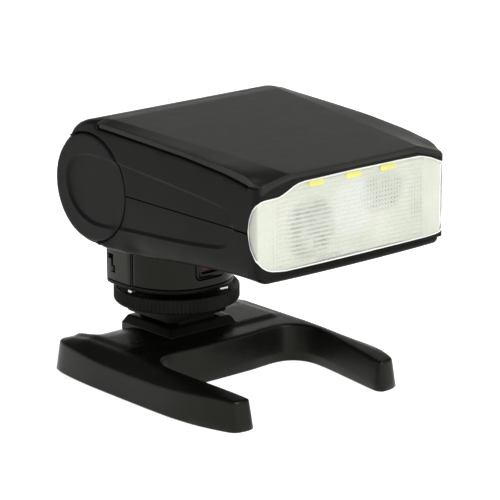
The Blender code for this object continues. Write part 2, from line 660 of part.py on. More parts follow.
def make_upper_shell():
    """Upper half of the head with the lip that follows the drum."""
    shell = prism("head_upper_shell", head_outline_upper(), -HALF_W, HALF_W, "X", "black")
    wall = arc(DRUM_Y, DRUM_Z, CHEEK_R + 1.5, 178.5, 122.0, 16)
    cavity = wall + [(12.0, 70.2 - HEAD_WALL), (-14.0, 69.2 - HEAD_WALL)]
    cavity += [(-29.0, 67.9 - HEAD_WALL), (-38.0, 66.5 - HEAD_WALL), (-50.0, 65.0), (-50.0, 45.0),
               (7.0, 45.0)]
    boolean(shell, prism("cut_upper_cavity", cavity, -HALF_W + HEAD_WALL, HALF_W - HEAD_WALL, "X"))
    boolean(shell, box("cut_led_roof", (-19.0, -50.0, 60.0), (19.0, -35.5, 80.0)))
    return shell


def make_lower_shell():
    """Lower half of the head with a notch for the neck."""
    shell = prism("head_lower_shell", head_outline_lower(), -HALF_W, HALF_W, "X", "black")
    wall = arc(DRUM_Y, DRUM_Z, CHEEK_R + 1.5, 179.0, 236.0, 12)
    cavity = wall + [(8.0, 39.4 + HEAD_WALL), (-0.75, 40.0 + HEAD_WALL), (-20.75, 42.1 + HEAD_WALL)]
    cavity += [(-36.0, 43.2 + HEAD_WALL), (-37.4, 46.0), (-50.0, 46.0), (-50.0, 70.0), (7.0, 70.0)]
    boolean(shell, prism("cut_lower_cavity", cavity, -HALF_W + HEAD_WALL, HALF_W - HEAD_WALL, "X"))
    boolean(shell, box("cut_neck_notch", (-17.0, 12.7, 20.0), (17.0, 60.0, 45.6)))
    boolean(shell, box("cut_lug_slot", (27.1, 2.0, 49.0), (28.9, 14.0, 54.0)))
    for side in (-1, 1):
        name = "cut_screw_%d" % side
        boolean(shell, cylinder(name, (side * 23.0, -8.0), 2.4, 30.0, 41.6, "Z", None, 24))
        boolean(shell, cylinder(name + "_shank", (side * 23.0, -8.0), 1.2, 30.0, 50.0, "Z", None, 16))
    return shell


def make_screws():
    """Cross-head screws under the head."""
    for side, word in ((-1, "left"), (1, "right")):
        profile = [(0.0, 40.95), (1.9, 40.95), (1.9, 41.45), (0.95, 41.5), (0.95, 45.4), (0.0, 45.4)]
        screw = turned("head_screw_" + word, profile, (side * 23.0, -8.0), "Z", "steel", 24)
        for i, (a, b) in enumerate(((1.2, 0.25), (0.25, 1.2))):
            slot = box("cut_cross_%s_%d" % (word, i), (side * 23.0 - a, -8.0 - b, 40.0),
                       (side * 23.0 + a, -8.0 + b, 41.3))
            boolean(screw, slot)


def lens_arc(inset):
    """Plan outline of the lens front: a slow bow with rounded ends."""
    out = []
    wide = 31.9 - inset
    for i in range(25):
        t = -1.0 + 2.0 * i / 24
        x = wide * math.sin(t * math.pi / 2)
        bow = 0.9 * (x / wide) ** 2
        end = 2.7 * max(0.0, (abs(x) / wide - 0.9) / 0.1) ** 2
        out.append((x, min(LENS_Y + inset + bow + end, -39.3)))
    return out


def make_lens():
    """Bowed fresnel lens whose ends wrap round the head's sides."""
    outline = lens_arc(0.0) + [(31.9, -39.1), (30.3, -39.1)] + list(reversed(lens_arc(1.6))) + [(-30.3,
                                                                                                 -39.1), (-31.9, -39.1)]
    lens = prism("flash_lens", outline, LENS_Z0, LENS_Z1, "Z", "clear")
    face = [(-32.5, LENS_Z0 + 3.0), (-30.5, LENS_Z0 - 0.1), (30.5, LENS_Z0 - 0.1), (32.5, LENS_Z0 + 3.0)]
    face += [(32.5, 64.8), (31.0, 65.6), (22.0, LENS_Z1 + 0.1), (-22.0, LENS_Z1 + 0.1), (-31.0, 65.6),
             (-32.5, 64.8)]
    boolean(lens, prism("cut_lens_face", face, -60.0, -20.0, "Y"), "INTERSECT")


def make_reflector():
    """Bright trough behind the lens, with its open side forward."""
    outer = [(-40.7, 47.9), (-40.7, 64.1), (-36.0, 63.4), (-29.5, 60.6), (-27.6, 57.4), (-27.6, 54.6),
             (-29.5, 51.4), (-36.0, 48.6)]
    inner = [(-41.5, 48.6), (-41.5, 63.4), (-36.2, 62.7), (-30.0, 60.0), (-28.4, 57.2), (-28.4, 54.8),
             (-30.0, 52.0), (-36.2, 49.3)]
    trough = prism("reflector", outer, -18.4, 18.4, "X", "mirror")
    boolean(trough, prism("cut_trough", inner, -17.8, 17.8, "X"))


def make_tube():
    """Xenon tube lying across the reflector."""
    profile = [(0.0, -17.4), (0.5, -17.4), (0.5, -16.0), (1.5, -15.6), (1.5, 15.6), (0.5, 16.0),
               (0.5, 17.4), (0.0, 17.4)]
    turned("flash_tube", profile, (-31.6, 56.0), "X", "clear", 20)


def make_leds():
    """Three video-light diodes on a narrow board above the reflector."""
    box("led_board", (-18.0, -39.9, 64.5), (18.0, -39.2, 67.0), "white")
    for i, x in enumerate(LED_X):
        box("led_%d" % (i + 1), (x - 1.6, -40.9, 64.8), (x + 1.6, -40.2, 66.7), "phosphor")


def make_electronics():
    """Storage capacitor and charging board behind the reflector."""
    profile = [(0.0, -20.0), (6.2, -20.0), (6.5, -19.6), (6.5, 15.6), (6.2, 16.0), (0.0, 16.0)]
    turned("capacitor", profile, (-10.5, 52.4), "X", "gloss", 40)
    box("head_board", (-25.0, -26.0, 61.2), (25.0, 4.0, 62.4), "board")
    box("trigger_coil", (-27.5, -24.0, 47.5), (-22.5, -18.0, 53.5), "white")


make_stand()
make_feet()
make_shoe()
make_tripod_insert()
make_foot()
make_contacts()
make_lock_pin()
make_ring()
make_neck()
make_side_panels()
make_side_switch()
make_window()
make_sensor()
make_neck_board()
make_tabs()
make_drum()
make_control_panel()
make_controls()
make_end_cap()
make_tilt_ring()
make_battery_door()
make_cells()
make_cell_contacts()
make_top_cover()
make_upper_shell()
make_lower_shell()
make_screws()
make_lens()
make_reflector()
make_tube()
make_leds()
make_electronics()

HEAD_NODES = ["top_cover", "head_upper_shell", "head_lower_shell", "head_screw_left", "head_screw_right"]
HEAD_NODES += ["flash_lens", "reflector", "flash_tube", "led_board", "led_1", "led_2", "led_3", "capacitor"]
HEAD_NODES += ["head_board", "trigger_coil", "tilt_ring"]
group("head_pivot", (0.0, DRUM_Y, DRUM_Z), HEAD_NODES)
group("door_pivot", (HINGE_X, DRUM_Y + 13.85, DRUM_Z), ["battery_door", "door_contact"])
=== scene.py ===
"""Compact camera flash on a mini stand: finished surfaces and a plain studio."""
import math

import bmesh
import bpy
import numpy as np
from mathutils import Matrix, Vector
from mathutils.geometry import delaunay_2d_cdt


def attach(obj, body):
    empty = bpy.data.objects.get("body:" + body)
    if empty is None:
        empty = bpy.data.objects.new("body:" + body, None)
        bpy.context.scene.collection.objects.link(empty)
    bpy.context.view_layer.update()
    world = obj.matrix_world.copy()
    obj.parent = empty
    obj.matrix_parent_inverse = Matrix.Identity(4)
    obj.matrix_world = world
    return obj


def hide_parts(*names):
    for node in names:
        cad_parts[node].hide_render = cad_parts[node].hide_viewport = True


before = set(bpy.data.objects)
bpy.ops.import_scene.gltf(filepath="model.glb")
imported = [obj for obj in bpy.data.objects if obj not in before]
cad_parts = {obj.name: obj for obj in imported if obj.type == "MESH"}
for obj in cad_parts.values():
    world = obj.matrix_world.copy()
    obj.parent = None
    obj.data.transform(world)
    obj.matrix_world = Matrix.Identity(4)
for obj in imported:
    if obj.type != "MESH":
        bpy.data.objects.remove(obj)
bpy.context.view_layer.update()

MM = 0.001
# Lengths of shapes are in millimetres; materials and lights are in metres.
DRUM = (24.65, 54.9)      # y, z of the drum's axis
FOOT_Y = 28.25            # y of the axis of foot, ring and neck
HALF = 32.0               # half width of the head
HINGE = (-31.35, 38.5)    # x, y of the battery door's hinge
KEYS = (("mode", -15), ("minus", -8.5), ("plus", -2), ("test", 6))    # each button's x
LAMP = (-2, DRUM[1] + 6)  # x, z of the ready lamp
RIB_PITCH = 1.14          # height of one rib behind the lens
CROSS_PITCH = 1.04        # width of one cross rib
BEAD = 0.16               # radius of the bead round the lens


# ---- small helpers

def arc(cx, cy, r, a0, a1, n):
    """Points of an arc from a0 to a1 degrees."""
    out = []
    for i in range(n + 1):
        a = math.radians(a0 + (a1 - a0) * i / n)
        out.append((cx + r * math.cos(a), cy + r * math.sin(a)))
    return out


def circle(cx, cy, r, n):
    """Closed circle of n points."""
    return arc(cx, cy, r, 0, 360 - 360 / n, n - 1)


def rounded(x0, y0, x1, y1, r, n=6):
    """Rectangle with rounded corners."""
    pts = arc(x1 - r, y1 - r, r, 0, 90, n)
    pts += arc(x0 + r, y1 - r, r, 90, 180, n)
    pts += arc(x0 + r, y0 + r, r, 180, 270, n)
    pts += arc(x1 - r, y0 + r, r, 270, 360, n)
    return pts


def smooth_curve(points, per, closed=True):
    """Catmull-Rom curve through the points."""
    n = len(points)
    out = []
    last = n if closed else n - 1
    for i in range(last):
        if closed:
            p = [points[(i + k) % n] for k in (-1, 0, 1, 2)]
        else:
            p = [points[max(0, min(n - 1, i + k))] for k in (-1, 0, 1, 2)]
        for j in range(per):
            t = j / per
            q = []
            for a, b, c, d in zip(*p):
                square, cube = 2 * a - 5 * b + 4 * c - d, 3 * b - a - 3 * c + d
                q.append(0.5 * (2 * b + (c - a) * t + square * t * t + cube * t ** 3))
            out.append(tuple(q))
    if not closed:
        out.append(tuple(points[-1]))
    return out


def resample(points, step, closed=True):
    """Even spacing along a polyline."""
    pts = np.array(points, float)
    if closed:
        pts = np.vstack([pts, pts[:1]])
    seg = np.linalg.norm(np.diff(pts, axis=0), axis=1)
    dist = np.concatenate([[0], np.cumsum(seg)])
    n = max(3, round(dist[-1] / step))
    at = np.linspace(0, dist[-1], n + 1)
    if closed:
        at = at[:-1]
    cols = [np.interp(at, dist, pts[:, k]) for k in range(pts.shape[1])]
    return [tuple(float(v) for v in row) for row in zip(*cols)]


def step01(t):
    """Smooth step between 0 and 1."""
    t = max(0, min(1, t))
    return t * t * (3.0 - 2.0 * t)


def table(x, pairs):
    """Straight-line lookup in a short table."""
    return float(np.interp(x, [p[0] for p in pairs], [p[1] for p in pairs]))


def runs(flags):
    """Runs of indices of a closed loop where the flags hold."""
    n = len(flags)
    out = []
    for first in [i for i in range(n) if flags[i] and not flags[i - 1]]:
        run = []
        while flags[(first + len(run)) % n]:
            run.append((first + len(run)) % n)
        out.append(run)
    return out


def inside_distance(points, polygon):
    """Distance to a polygon's edge, positive inside."""
    p = np.array(points, float)
    poly = np.array(polygon, float)
    best = np.full(len(p), 1e9)
    inside = np.zeros(len(p), bool)
    for a, b in zip(poly, np.roll(poly, -1, axis=0)):
        ab = b - a
        t = np.clip(((p - a) @ ab) / max(ab @ ab, 1e-12), 0, 1)
        best = np.minimum(best, np.linalg.norm(p - (a + t[:, None] * ab), axis=1))
        crosses = (a[1] > p[:, 1]) != (b[1] > p[:, 1])
        if abs(b[1] - a[1]) > 1e-12:
            inside ^= crosses & (p[:, 0] < a[0] + (p[:, 1] - a[1]) / (b[1] - a[1]) * ab[0])
    return np.where(inside, best, -best)


def offset(points, amount, weights=None):
    """Move a closed outline inwards by a small amount."""
    pts = np.array(points, float)
    area = sum(a[0] * b[1] - b[0] * a[1] for a, b in zip(points, points[1:] + points[:1]))
    tangent = np.roll(pts, -1, axis=0) - np.roll(pts, 1, axis=0)
    tangent /= np.maximum(np.linalg.norm(tangent, axis=1), 1e-9)[:, None]
    normal = np.stack([-tangent[:, 1], tangent[:, 0]], axis=1) * (1.0 if area > 0 else -1)
    w = np.ones(len(pts)) if weights is None else np.array(weights)
    return [tuple(q) for q in pts + normal * (amount * w)[:, None]]


def fill_flat(outline, step, chains=()):
    """Triangles inside an outline, with even inner points and fixed crease lines."""
    pts = np.array(outline, float)
    low, high = pts.min(axis=0), pts.max(axis=0)
    grid = []
    row = 0
    y = low[1] + step * 0.5
    while y < high[1]:
        x = low[0] + step * (0.5 if row % 2 else 0.25)
        while x < high[0]:
            grid.append((x, y))
            x += step
        y += step * 0.87
        row += 1
    lines = np.array([p for chain in chains for p in chain], float).reshape(-1, 2)
    if grid:
        keep = inside_distance(grid, outline) > step * 0.45
        for k, g in enumerate(grid):
            if len(lines) and keep[k]:
                keep[k] = np.min(np.sum((lines - g) ** 2, axis=1)) > 0.12
        grid = [g for g, k in zip(grid, keep) if k]
    verts = [Vector(p) for p in list(outline) + grid]
    n = len(outline)
    edges = [(i, (i + 1) % n) for i in range(n)]
    for chain in chains:
        first = len(verts)
        verts += [Vector(p) for p in chain]
        edges += [(first + i, first + i + 1) for i in range(len(chain) - 1)]
    out = delaunay_2d_cdt(verts, edges, [], 1, 1e-6)
    return [tuple(v) for v in out[0]], [tuple(f) for f in out[2]]


def build(name, verts, faces, angle=35, merge=0.00001):
    """Mesh object from millimetre points, closed and facing outwards."""
    bm = bmesh.new()
    made = [bm.verts.new(Vector(v) * MM) for v in verts]
    for f in faces:
        if len(set(f)) > 2:
            try:
                bm.faces.new([made[i] for i in f])
            except ValueError:
                continue
    bmesh.ops.remove_doubles(bm, verts=bm.verts[:], dist=merge)
    bmesh.ops.dissolve_degenerate(bm, edges=bm.edges[:], dist=0.000001)
    bmesh.ops.recalc_face_normals(bm, faces=bm.faces[:])
    mesh = bpy.data.meshes.new(name)
    bm.to_mesh(mesh)
    bm.free()
    mesh.shade_smooth()
    mesh.set_sharp_from_angle(angle=math.radians(angle))
    obj = bpy.data.objects.new(name, mesh)
    bpy.context.scene.collection.objects.link(obj)
    return obj


def grid_faces(rows, cols, close_cols=True, start=0):
    """Quads of a grid of points stored row by row."""
    faces = []
    for i in range(rows - 1):
        for j in range(cols if close_cols else cols - 1):
            k = (j + 1) % cols
            a, b = start + i * cols + j, start + i * cols + k
            faces.append((a, b, b + cols, a + cols))
    return faces


def tube(rings):
    """Points and faces of the skin over closed rings of equal length."""
    return [p for ring in rings for p in ring], grid_faces(len(rings), len(rings[0]))


def loft(name, rings, angle=35):
    """Closed rings of equal length joined into a solid."""
    verts, faces = tube(rings)
    n = len(rings[0])
    faces.append(tuple(range(n)))
    faces.append(tuple(range(len(verts) - n, len(verts))))
    return build(name, verts, faces, angle)


def place(axis, a, b, level):
    """Point of an outline (a, b) at a level along an axis."""
    return {"X": (level, a, b), "Y": (a, level, b), "Z": (a, b, level)}[axis]


def soft_prism(name, outline, low, high, axis, r=0.3, n=3):
    """Extruded outline whose two end rims are rounded by r."""
    rings = []
    for end, sign in ((low, 1), (high, -1)):
        for i in range(n + 1)[::sign]:
            a = math.pi / 2 * i / n
            ring = offset(outline, r * (1 - math.sin(a)))
            level = end + sign * r * (1 - math.cos(a))
            rings.append([place(axis, p[0], p[1], level) for p in ring])
    return loft(name, rings)


def turned(name, profile, centre, axis, n=64):
    """Turn a (radius, station) profile about an axis."""
    verts, m = [], len(profile)
    for i in range(n):
        a = 2 * math.pi * i / n
        for r, s in profile:
            u, v = centre[0] + r * math.cos(a), centre[1] + r * math.sin(a)
            verts.append({"X": (s, u, v), "Y": (u, s, v), "Z": (u, v, s)}[axis])
    faces = []
    for i in range(n):
        j = (i + 1) % n
        for k in range(m - 1):
            faces.append((i * m + k, j * m + k, j * m + k + 1, i * m + k + 1))
    return build(name, verts, faces)


def apply_modifiers(obj, angle=35):
    """Make an object's modifiers part of its mesh."""
    graph = bpy.context.evaluated_depsgraph_get()
    graph.update()
    mesh = bpy.data.meshes.new_from_object(obj.evaluated_get(graph))
    obj.modifiers.clear()
    obj.data = mesh
    mesh.shade_smooth()
    mesh.set_sharp_from_angle(angle=math.radians(angle))


def cut(obj, cutters, operation="DIFFERENCE", angle=35):
    """Exact Booleans, applied at once, with the cutters removed."""
    for cutter in cutters:
        mod = obj.modifiers.new("cut", "BOOLEAN")
        mod.operation = operation
        mod.solver = "EXACT"
        mod.object = cutter
    apply_modifiers(obj, angle)
    for cutter in cutters:
        bpy.data.objects.remove(cutter, do_unlink=True)


def block(low, high):
    """Box used as a cutter or an ear."""
    x0, y0, x1, y1 = *low[:2], *high[:2]
    return prism(((x0, y0), (x1, y0), (x1, y1), (x0, y1)), low[2], high[2], "Z")


def prism(outline, low, high, axis, name="cutter"):
    """Plain extruded outline."""
    return loft(name, [[place(axis, a, b, level) for a, b in outline] for level in (low, high)])


def drill(cx, cy, r, low, high, axis="Z", n=24):
    """Round cutter along an axis."""
    return prism(circle(cx, cy, r, n), low, high, axis)


def warp(obj, move):
    """Move every vertex of a mesh; positions are in millimetres."""
    for v in obj.data.vertices:
        v.co = Vector(move(*(v.co / MM))) * MM
    obj.data.update()


# ---- materials

def new_material(name):
    """New node material: itself, its tree, its shader and the object coordinates."""
    mat = bpy.data.materials.new(name)
    mat.use_nodes = True
    tree = mat.node_tree
    coord = tree.nodes.new("ShaderNodeTexCoord").outputs["Object"]
    return mat, tree, tree.nodes["Principled BSDF"], coord


def add_node(tree, kind, **values):
    """Node with attributes and inputs set by name."""
    node = tree.nodes.new(kind)
    for key, value in values.items():
        if key in node.inputs:
            node.inputs[key].default_value = value
        else:
            setattr(node, key, value)
    return node


def noise(tree, coord, scale, detail=3, rough=0.55):
    """Noise in object space; the scale is features per metre."""
    node = add_node(tree, "ShaderNodeTexNoise", Scale=scale, Detail=detail, Roughness=rough)
    tree.links.new(coord, node.inputs["Vector"])
    return node.outputs["Fac"]


def spread(tree, value, low, high):
    """Map 0.3..0.7 of a noise to a range."""
    ends = {"From Min": 0.3, "From Max": 0.7, "To Min": low, "To Max": high}
    node = add_node(tree, "ShaderNodeMapRange", **ends)
    tree.links.new(value, node.inputs["Value"])
    return node.outputs["Result"]


def mix_color(tree, factor, *pair):
    """Mix of a pair, each a plain colour or another node's output."""
    node = add_node(tree, "ShaderNodeMix", data_type="RGBA")
    tree.links.new(factor, node.inputs[0])
    for socket, value in zip([k for k in node.inputs if k.type == "RGBA"], pair):
        if isinstance(value, tuple):
            socket.default_value = (*value, 1)
        else:
            tree.links.new(value, socket)
    return [k for k in node.outputs if k.type == "RGBA"][0]


def mottle(tree, value, dark, light):
    """Colour that follows a noise from dark to light."""
    return mix_color(tree, spread(tree, value, 0, 1), dark, light)


def surface(tree, shader, color, rough, height=None, strength=0.5, depth=0.00001, **constants):
    """Link colour, roughness and bump, and set the shader's constant inputs."""
    tree.links.new(color, shader.inputs["Base Color"])
    tree.links.new(rough, shader.inputs["Roughness"])
    if height is not None:
        bump = add_node(tree, "ShaderNodeBump", Strength=strength, Distance=depth)
        tree.links.new(height, bump.inputs["Height"])
        tree.links.new(bump.outputs["Normal"], shader.inputs["Normal"])
    for key, value in constants.items():
        shader.inputs[key].default_value = value


def plastic(name, dark, light, rough=(0.35, 0.45), grain=2600, depth=0.00001, strength=0.5, gloss=0.2):
    """Moulded plastic: mottled colour, uneven gloss and a spark-eroded grain."""
    mat, tree, shader, coord = new_material(name)
    color = mottle(tree, noise(tree, coord, 60, 4), dark, light)
    surface(tree, shader, color, spread(tree, noise(tree, coord, 240), *rough),
            noise(tree, coord, grain, 2, 0.6), strength, depth,
            **{"Specular IOR Level": gloss, "Specular Tint": (1, 1, 0.86, 1)})
    return mat


def metal(name, dark, light, rough=(0.2, 0.35), brushed=(400, 400, 6000)):
    """Metal with fine directional scratches."""
    mat, tree, shader, coord = new_material(name)
    stretch = add_node(tree, "ShaderNodeMapping", Scale=brushed)
    tree.links.new(coord, stretch.inputs["Vector"])
    lines = noise(tree, stretch.outputs["Vector"], 1, 4)
    surface(tree, shader, mottle(tree, lines, dark, light), spread(tree, lines, *rough),
            lines, 0.3, 0.000005, Metallic=1)
    return mat


BODY = plastic("body_plastic", (0.0044, 0.0045, 0.004), (0.0062, 0.0063, 0.0056), (0.34, 0.44), gloss=0.08)
COVER = plastic("cover_plastic", (0.0056, 0.0057, 0.005), (0.008, 0.0081, 0.0072), (0.345, 0.375), 3200,
                gloss=0.21)
STAND = plastic("stand_plastic", (0.0036, 0.0037, 0.0032), (0.0052, 0.0053, 0.0046), (0.26, 0.34), 3000,
                0.000006, gloss=0.17)
DISH = plastic("disc_plastic", (0.0058, 0.0058, 0.0062), (0.0078, 0.0078, 0.0084), (0.42, 0.52), 2200,
               0.000014, gloss=0.1)
GREY = plastic("grey_plastic", (0.016, 0.0155, 0.0135), (0.021, 0.0205, 0.018), (0.34, 0.42))
KNURL = plastic("ring_plastic", (0.0036, 0.0037, 0.0031), (0.005, 0.0051, 0.0044), (0.36, 0.46), gloss=0.1)
GLOSS = plastic("gloss_plastic", (0.0025, 0.0025, 0.0025), (0.004, 0.004, 0.004), (0.06, 0.12), 500, 0.000002,
                0.15, 0.16)
RUBBER = plastic("rubber", (0.012, 0.012, 0.012), (0.018, 0.018, 0.017), (0.7, 0.85), 1800, 0.00003, 0.8)
WHITE = plastic("white_plastic", (0.78, 0.78, 0.74), (0.84, 0.84, 0.81), (0.4, 0.5))
RED = plastic("red_window", (0.02, 0.003, 0.003), (0.03, 0.004, 0.004), (0.08, 0.14), 400, 0.000002, 0.1)
YELLOW = plastic("phosphor", (0.86, 0.8, 0.04), (0.92, 0.87, 0.1), (0.45, 0.6), 4000)
GREEN = plastic("circuit_board", (0.015, 0.09, 0.03), (0.025, 0.13, 0.045), (0.3, 0.5), 1500)
CELL = plastic("cell_sleeve", (0.03, 0.08, 0.2), (0.04, 0.1, 0.24), (0.2, 0.3), 900, 0.000004)
STEEL = metal("steel", (0.5, 0.5, 0.49), (0.68, 0.68, 0.66))
BRASS = metal("brass", (0.6, 0.42, 0.16), (0.75, 0.55, 0.24))
GOLD = metal("gold", (0.8, 0.55, 0.2), (0.92, 0.68, 0.3), (0.15, 0.28))
MIRROR = metal("reflector_metal", (0.86, 0.86, 0.85), (0.95, 0.95, 0.94), (0.06, 0.14), (3000, 60, 60))


def lens_material(name, low, high, rough, through):
    """Clear or milky moulded lens plastic."""
    mat, tree, shader, coord = new_material(name)
    surface(tree, shader, mottle(tree, noise(tree, coord, 90), low, high),
            spread(tree, noise(tree, coord, 500, 2), *rough), noise(tree, coord, 300, 2),
            0.2, 0.000004, **{"Transmission Weight": through, "IOR": 1.4})
    return mat


def glass_material():
    """Clear tube glass with faint draw lines."""
    mat, tree, shader, coord = new_material("tube_glass")
    lines = noise(tree, coord, 700, 2)
    surface(tree, shader, mottle(tree, lines, (0.9, 0.92, 0.9), (0.97, 0.98, 0.97)),
            spread(tree, lines, 0.02, 0.08), **{"Transmission Weight": 0.9})
    return mat


def rib_material():
    """Milky rib plastic, with painted shade in fine grey stripes for the dark trough seen through it and a
    painted highlight in the middle for the bright reflector behind.
    """
    mat, tree, shader, coord = new_material("rib_plastic")
    split = tree.nodes.new("ShaderNodeSeparateXYZ")
    tree.links.new(coord, split.inputs[0])

    def maths(kind, *values):
        node = add_node(tree, "ShaderNodeMath", operation=kind)
        for socket, value in zip(node.inputs, values):
            if isinstance(value, float):
                socket.default_value = value
            else:
                tree.links.new(value, socket)
        return node.outputs[0]

    def product(first, *others):
        for other in others:
            first = maths("MULTIPLY", first, other)
        return first

    def zone(cx, cz, rx, rz):
        """1 inside a soft rounded rectangle round (cx, cz), 0 outside."""
        powers = []
        for axis, centre, reach in (("X", cx, rx), ("Z", cz, rz)):
            shift = maths("SUBTRACT", split.outputs[axis], centre * MM)
            powers.append(maths("POWER", maths("ABSOLUTE", product(shift, 1.0 / (reach * MM))), 2.6))
        return spread(tree, maths("MULTIPLY_ADD", maths("ADD", *powers), -0.45, 0.9), 0, 1)

    def stripes(axis, low):
        pitch = {"X": CROSS_PITCH, "Z": RIB_PITCH}[axis]
        wave = maths("SINE", product(split.outputs[axis], 2.0 * math.pi / (pitch * MM)))
        return spread(tree, maths("MULTIPLY_ADD", wave, 0.5, 0.5), low, 1)

    # Painted shade: these zones and a low band turn grey in fine stripes for the dark trough seen through the
    # ribs.
    left = product(zone(-13.5, 54, 7.6, 7.6), stripes("Z", 0))
    right = product(zone(10.5, 59.5, 7.2, 5.2), stripes("Z", 0.1), stripes("X", 0.2))
    end = product(zone(22.5, 57, 2.6, 7), stripes("X", 0.1), 0.5)
    low = product(zone(-8, 46, 4, 0.8), 0.6)
    dark = maths("MAXIMUM", maths("MAXIMUM", left, right), maths("MAXIMUM", end, low))
    dark = product(dark, spread(tree, noise(tree, coord, 260, 2), 0.25, 1), 0.95)
    color = mottle(tree, noise(tree, coord, 90), (0.86, 0.87, 0.77), (0.93, 0.94, 0.85))
    # Painted highlight: the middle is lifted to near white for the bright reflector seen through the ribs.
    color = mix_color(tree, product(zone(0.5, 57, 6.5, 7.5), 0.8), color, (0.98, 0.98, 0.98))
    # The painted shade is mixed over the colour here as grey.
    color = mix_color(tree, dark, color, (0.33, 0.34, 0.33))
    surface(tree, shader, color, spread(tree, noise(tree, coord, 500, 2), 0.12, 0.2),
            **{"Transmission Weight": 0.2, "IOR": 1.4})
    return mat


LENS = lens_material("lens_plastic", (0.93, 0.95, 0.91), (0.97, 0.98, 0.95), (0.02, 0.06), 0.93)
RIBS = rib_material()
RIM = lens_material("rim_plastic", (0.96, 0.97, 0.93), (1, 1, 0.97), (0.1, 0.2), 0.15)
GLASS = glass_material()


def finish(obj, mat, body, slot, *nodes):
    """Give a piece its material and its body, and hide the CAD nodes it stands for. The slot argument is not
    used.
    """
    obj.data.materials.clear()
    obj.data.materials.append(mat)
    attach(obj, body)
    if nodes:
        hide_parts(*nodes)


# ---- stand

def stand_outline():
    """Smooth closed outline of the stand's foot at the floor."""
    half = [(7.5, 6.7), (13, 7.1), (17.4, 7.3), (21, 6.5), (23.5, 4.2), (24.7, 0.4), (24.4, -5.8)]
    half += [(23.3, -14), (22.3, -21), (21.5, -27.3), (21.8, -29.2), (22.9, -30.15), (25, -30.2)]
    half += [(27.2, -29.7), (28.7, -28.3)]
    half += [(30.4, -23.5), (31.9, -17.4), (32.85, -10.2), (33.15, -2), (33.15, 12), (33, 26), (32.3, 36)]
    half += [(31.3, 41.2), (29.6, 43.7), (27, 44.2), (24.6, 43.2), (22.4, 41.2), (19.6, 40.1), (12, 39.5)]
    pts = [(-x, y) for x, y in half][::-1] + half
    return resample(smooth_curve(pts, 12), 0.9)


def stand_height(x, y):
    """Height of the stand's top surface."""
    outer = table(y, [(-30, 7.9), (-22, 8), (-13, 7.8), (-2, 7.3), (9, 7), (20, 7.1), (32, 7.6), (45, 7.7)])
    leg = table(y, [(-30, 8.2), (-22, 8.9), (-12, 9.6), (0, 10.3), (8, 10.5), (33, 10.4), (39, 9.6), (45, 8)])
    bridge = table(y, [(-30, 8.2), (0, 10.2), (9, 10.5), (29, 10.5), (33, 10), (36, 9), (39, 7.8), (45, 7.4)])
    inner = bridge + (leg - bridge) * step01((abs(x) - 20.5) / 4.5)
    side = step01((33.0 - abs(x)) / 5.6)
    return outer + (inner - outer) * side


def saddle_lift(points):
    """Rise of the flat saddle under the shoe at points (x, y)."""
    depth = inside_distance(points, rounded(-25.4, 15.2, 25.4, 42, 2.4, 8))
    return [0.55 * step01((d + 0.7) / 1.4) for d in depth]


def make_stand():
    """Legs with rolled edges and a raised saddle under the shoe."""
    outline = stand_outline()
    # Inset of each ring, then its height: from the floor, as a share of the top, or below the top.
    rim = [(0.3, 0.25, "floor"), (0, 0.6, "floor"), (0.3, 0.3, "share"), (0.65, 0.62, "share")]
    rim += [(i, z, "top") for i, z in ((1, 0.9), (1.06, 0.5), (1.2, 0.18), (1.42, 0.04), (1.8, 0))]
    rings = []
    for inset, z, kind in rim:
        ring = []
        for x, y in offset(outline, inset):
            top = stand_height(x, y)
            ring.append((x, y, {"floor": z, "share": top * z, "top": top - z}[kind]))
        rings.append(ring)
    edge = [p[:2] for p in rings[-1]]
    rings[-1] = [(x, y, z + lift) for (x, y, z), lift in zip(rings[-1], saddle_lift(edge))]
    verts, faces = tube(rings)
    for border, step in ((edge, 1.1), ([p[:2] for p in rings[0]], 3)):
        flat, tris = fill_flat(border, step)
        faces += [tuple(len(verts) + i for i in t) for t in tris]
        if border is edge:
            verts += [(x, y, stand_height(x, y) + lift) for (x, y), lift in zip(flat, saddle_lift(flat))]
        else:
            verts += [(x, y, rim[0][1]) for x, y in flat]
    stand = build("stand_form", verts, faces, 50)
    cut(stand, [block((-11.9, 16.3, 6.4), (11.9, 60, 20))], angle=50)
    finish(stand, STAND, "stand", "stand_black", "stand_body")


def make_shoe():
    """Accessory shoe with rolled rails, closed in front."""
    rings = []
    levels = [(0, 6.5), (0, 10.9), (0.08, 11.15), (0.3, 11.4), (1.1, 12.75), (1.3, 12.98), (1.6, 13.1)]
    for i, z in levels + [(2, 13.12)]:
        plan = rounded(i - 11.75, 16.4 + i, 11.75 - i, 38.2 - i, 0.7 - 0.2 * i, 5)
        rings.append([(x, y, z) for x, y in plan])
    shoe = loft("shoe_rim", rings, 40)
    slot_cut = block((-9.45, 18.7, 8.2), (9.45, 60, 10.5))
    mouth = [(-7.5, 13.6), (-7, 12.7), (-6.6, 12.2), (-6.6, 9), (6.6, 9), (6.6, 12.2), (7, 12.7), (7.5, 13.6)]
    lips = prism(mouth, 18.4, 60, "Y")
    cut(shoe, [slot_cut, lips, drill(0, 23.6, 1.3, 5, 9)], angle=40)
    finish(shoe, STAND, "stand", "stand_black", "stand_shoe")


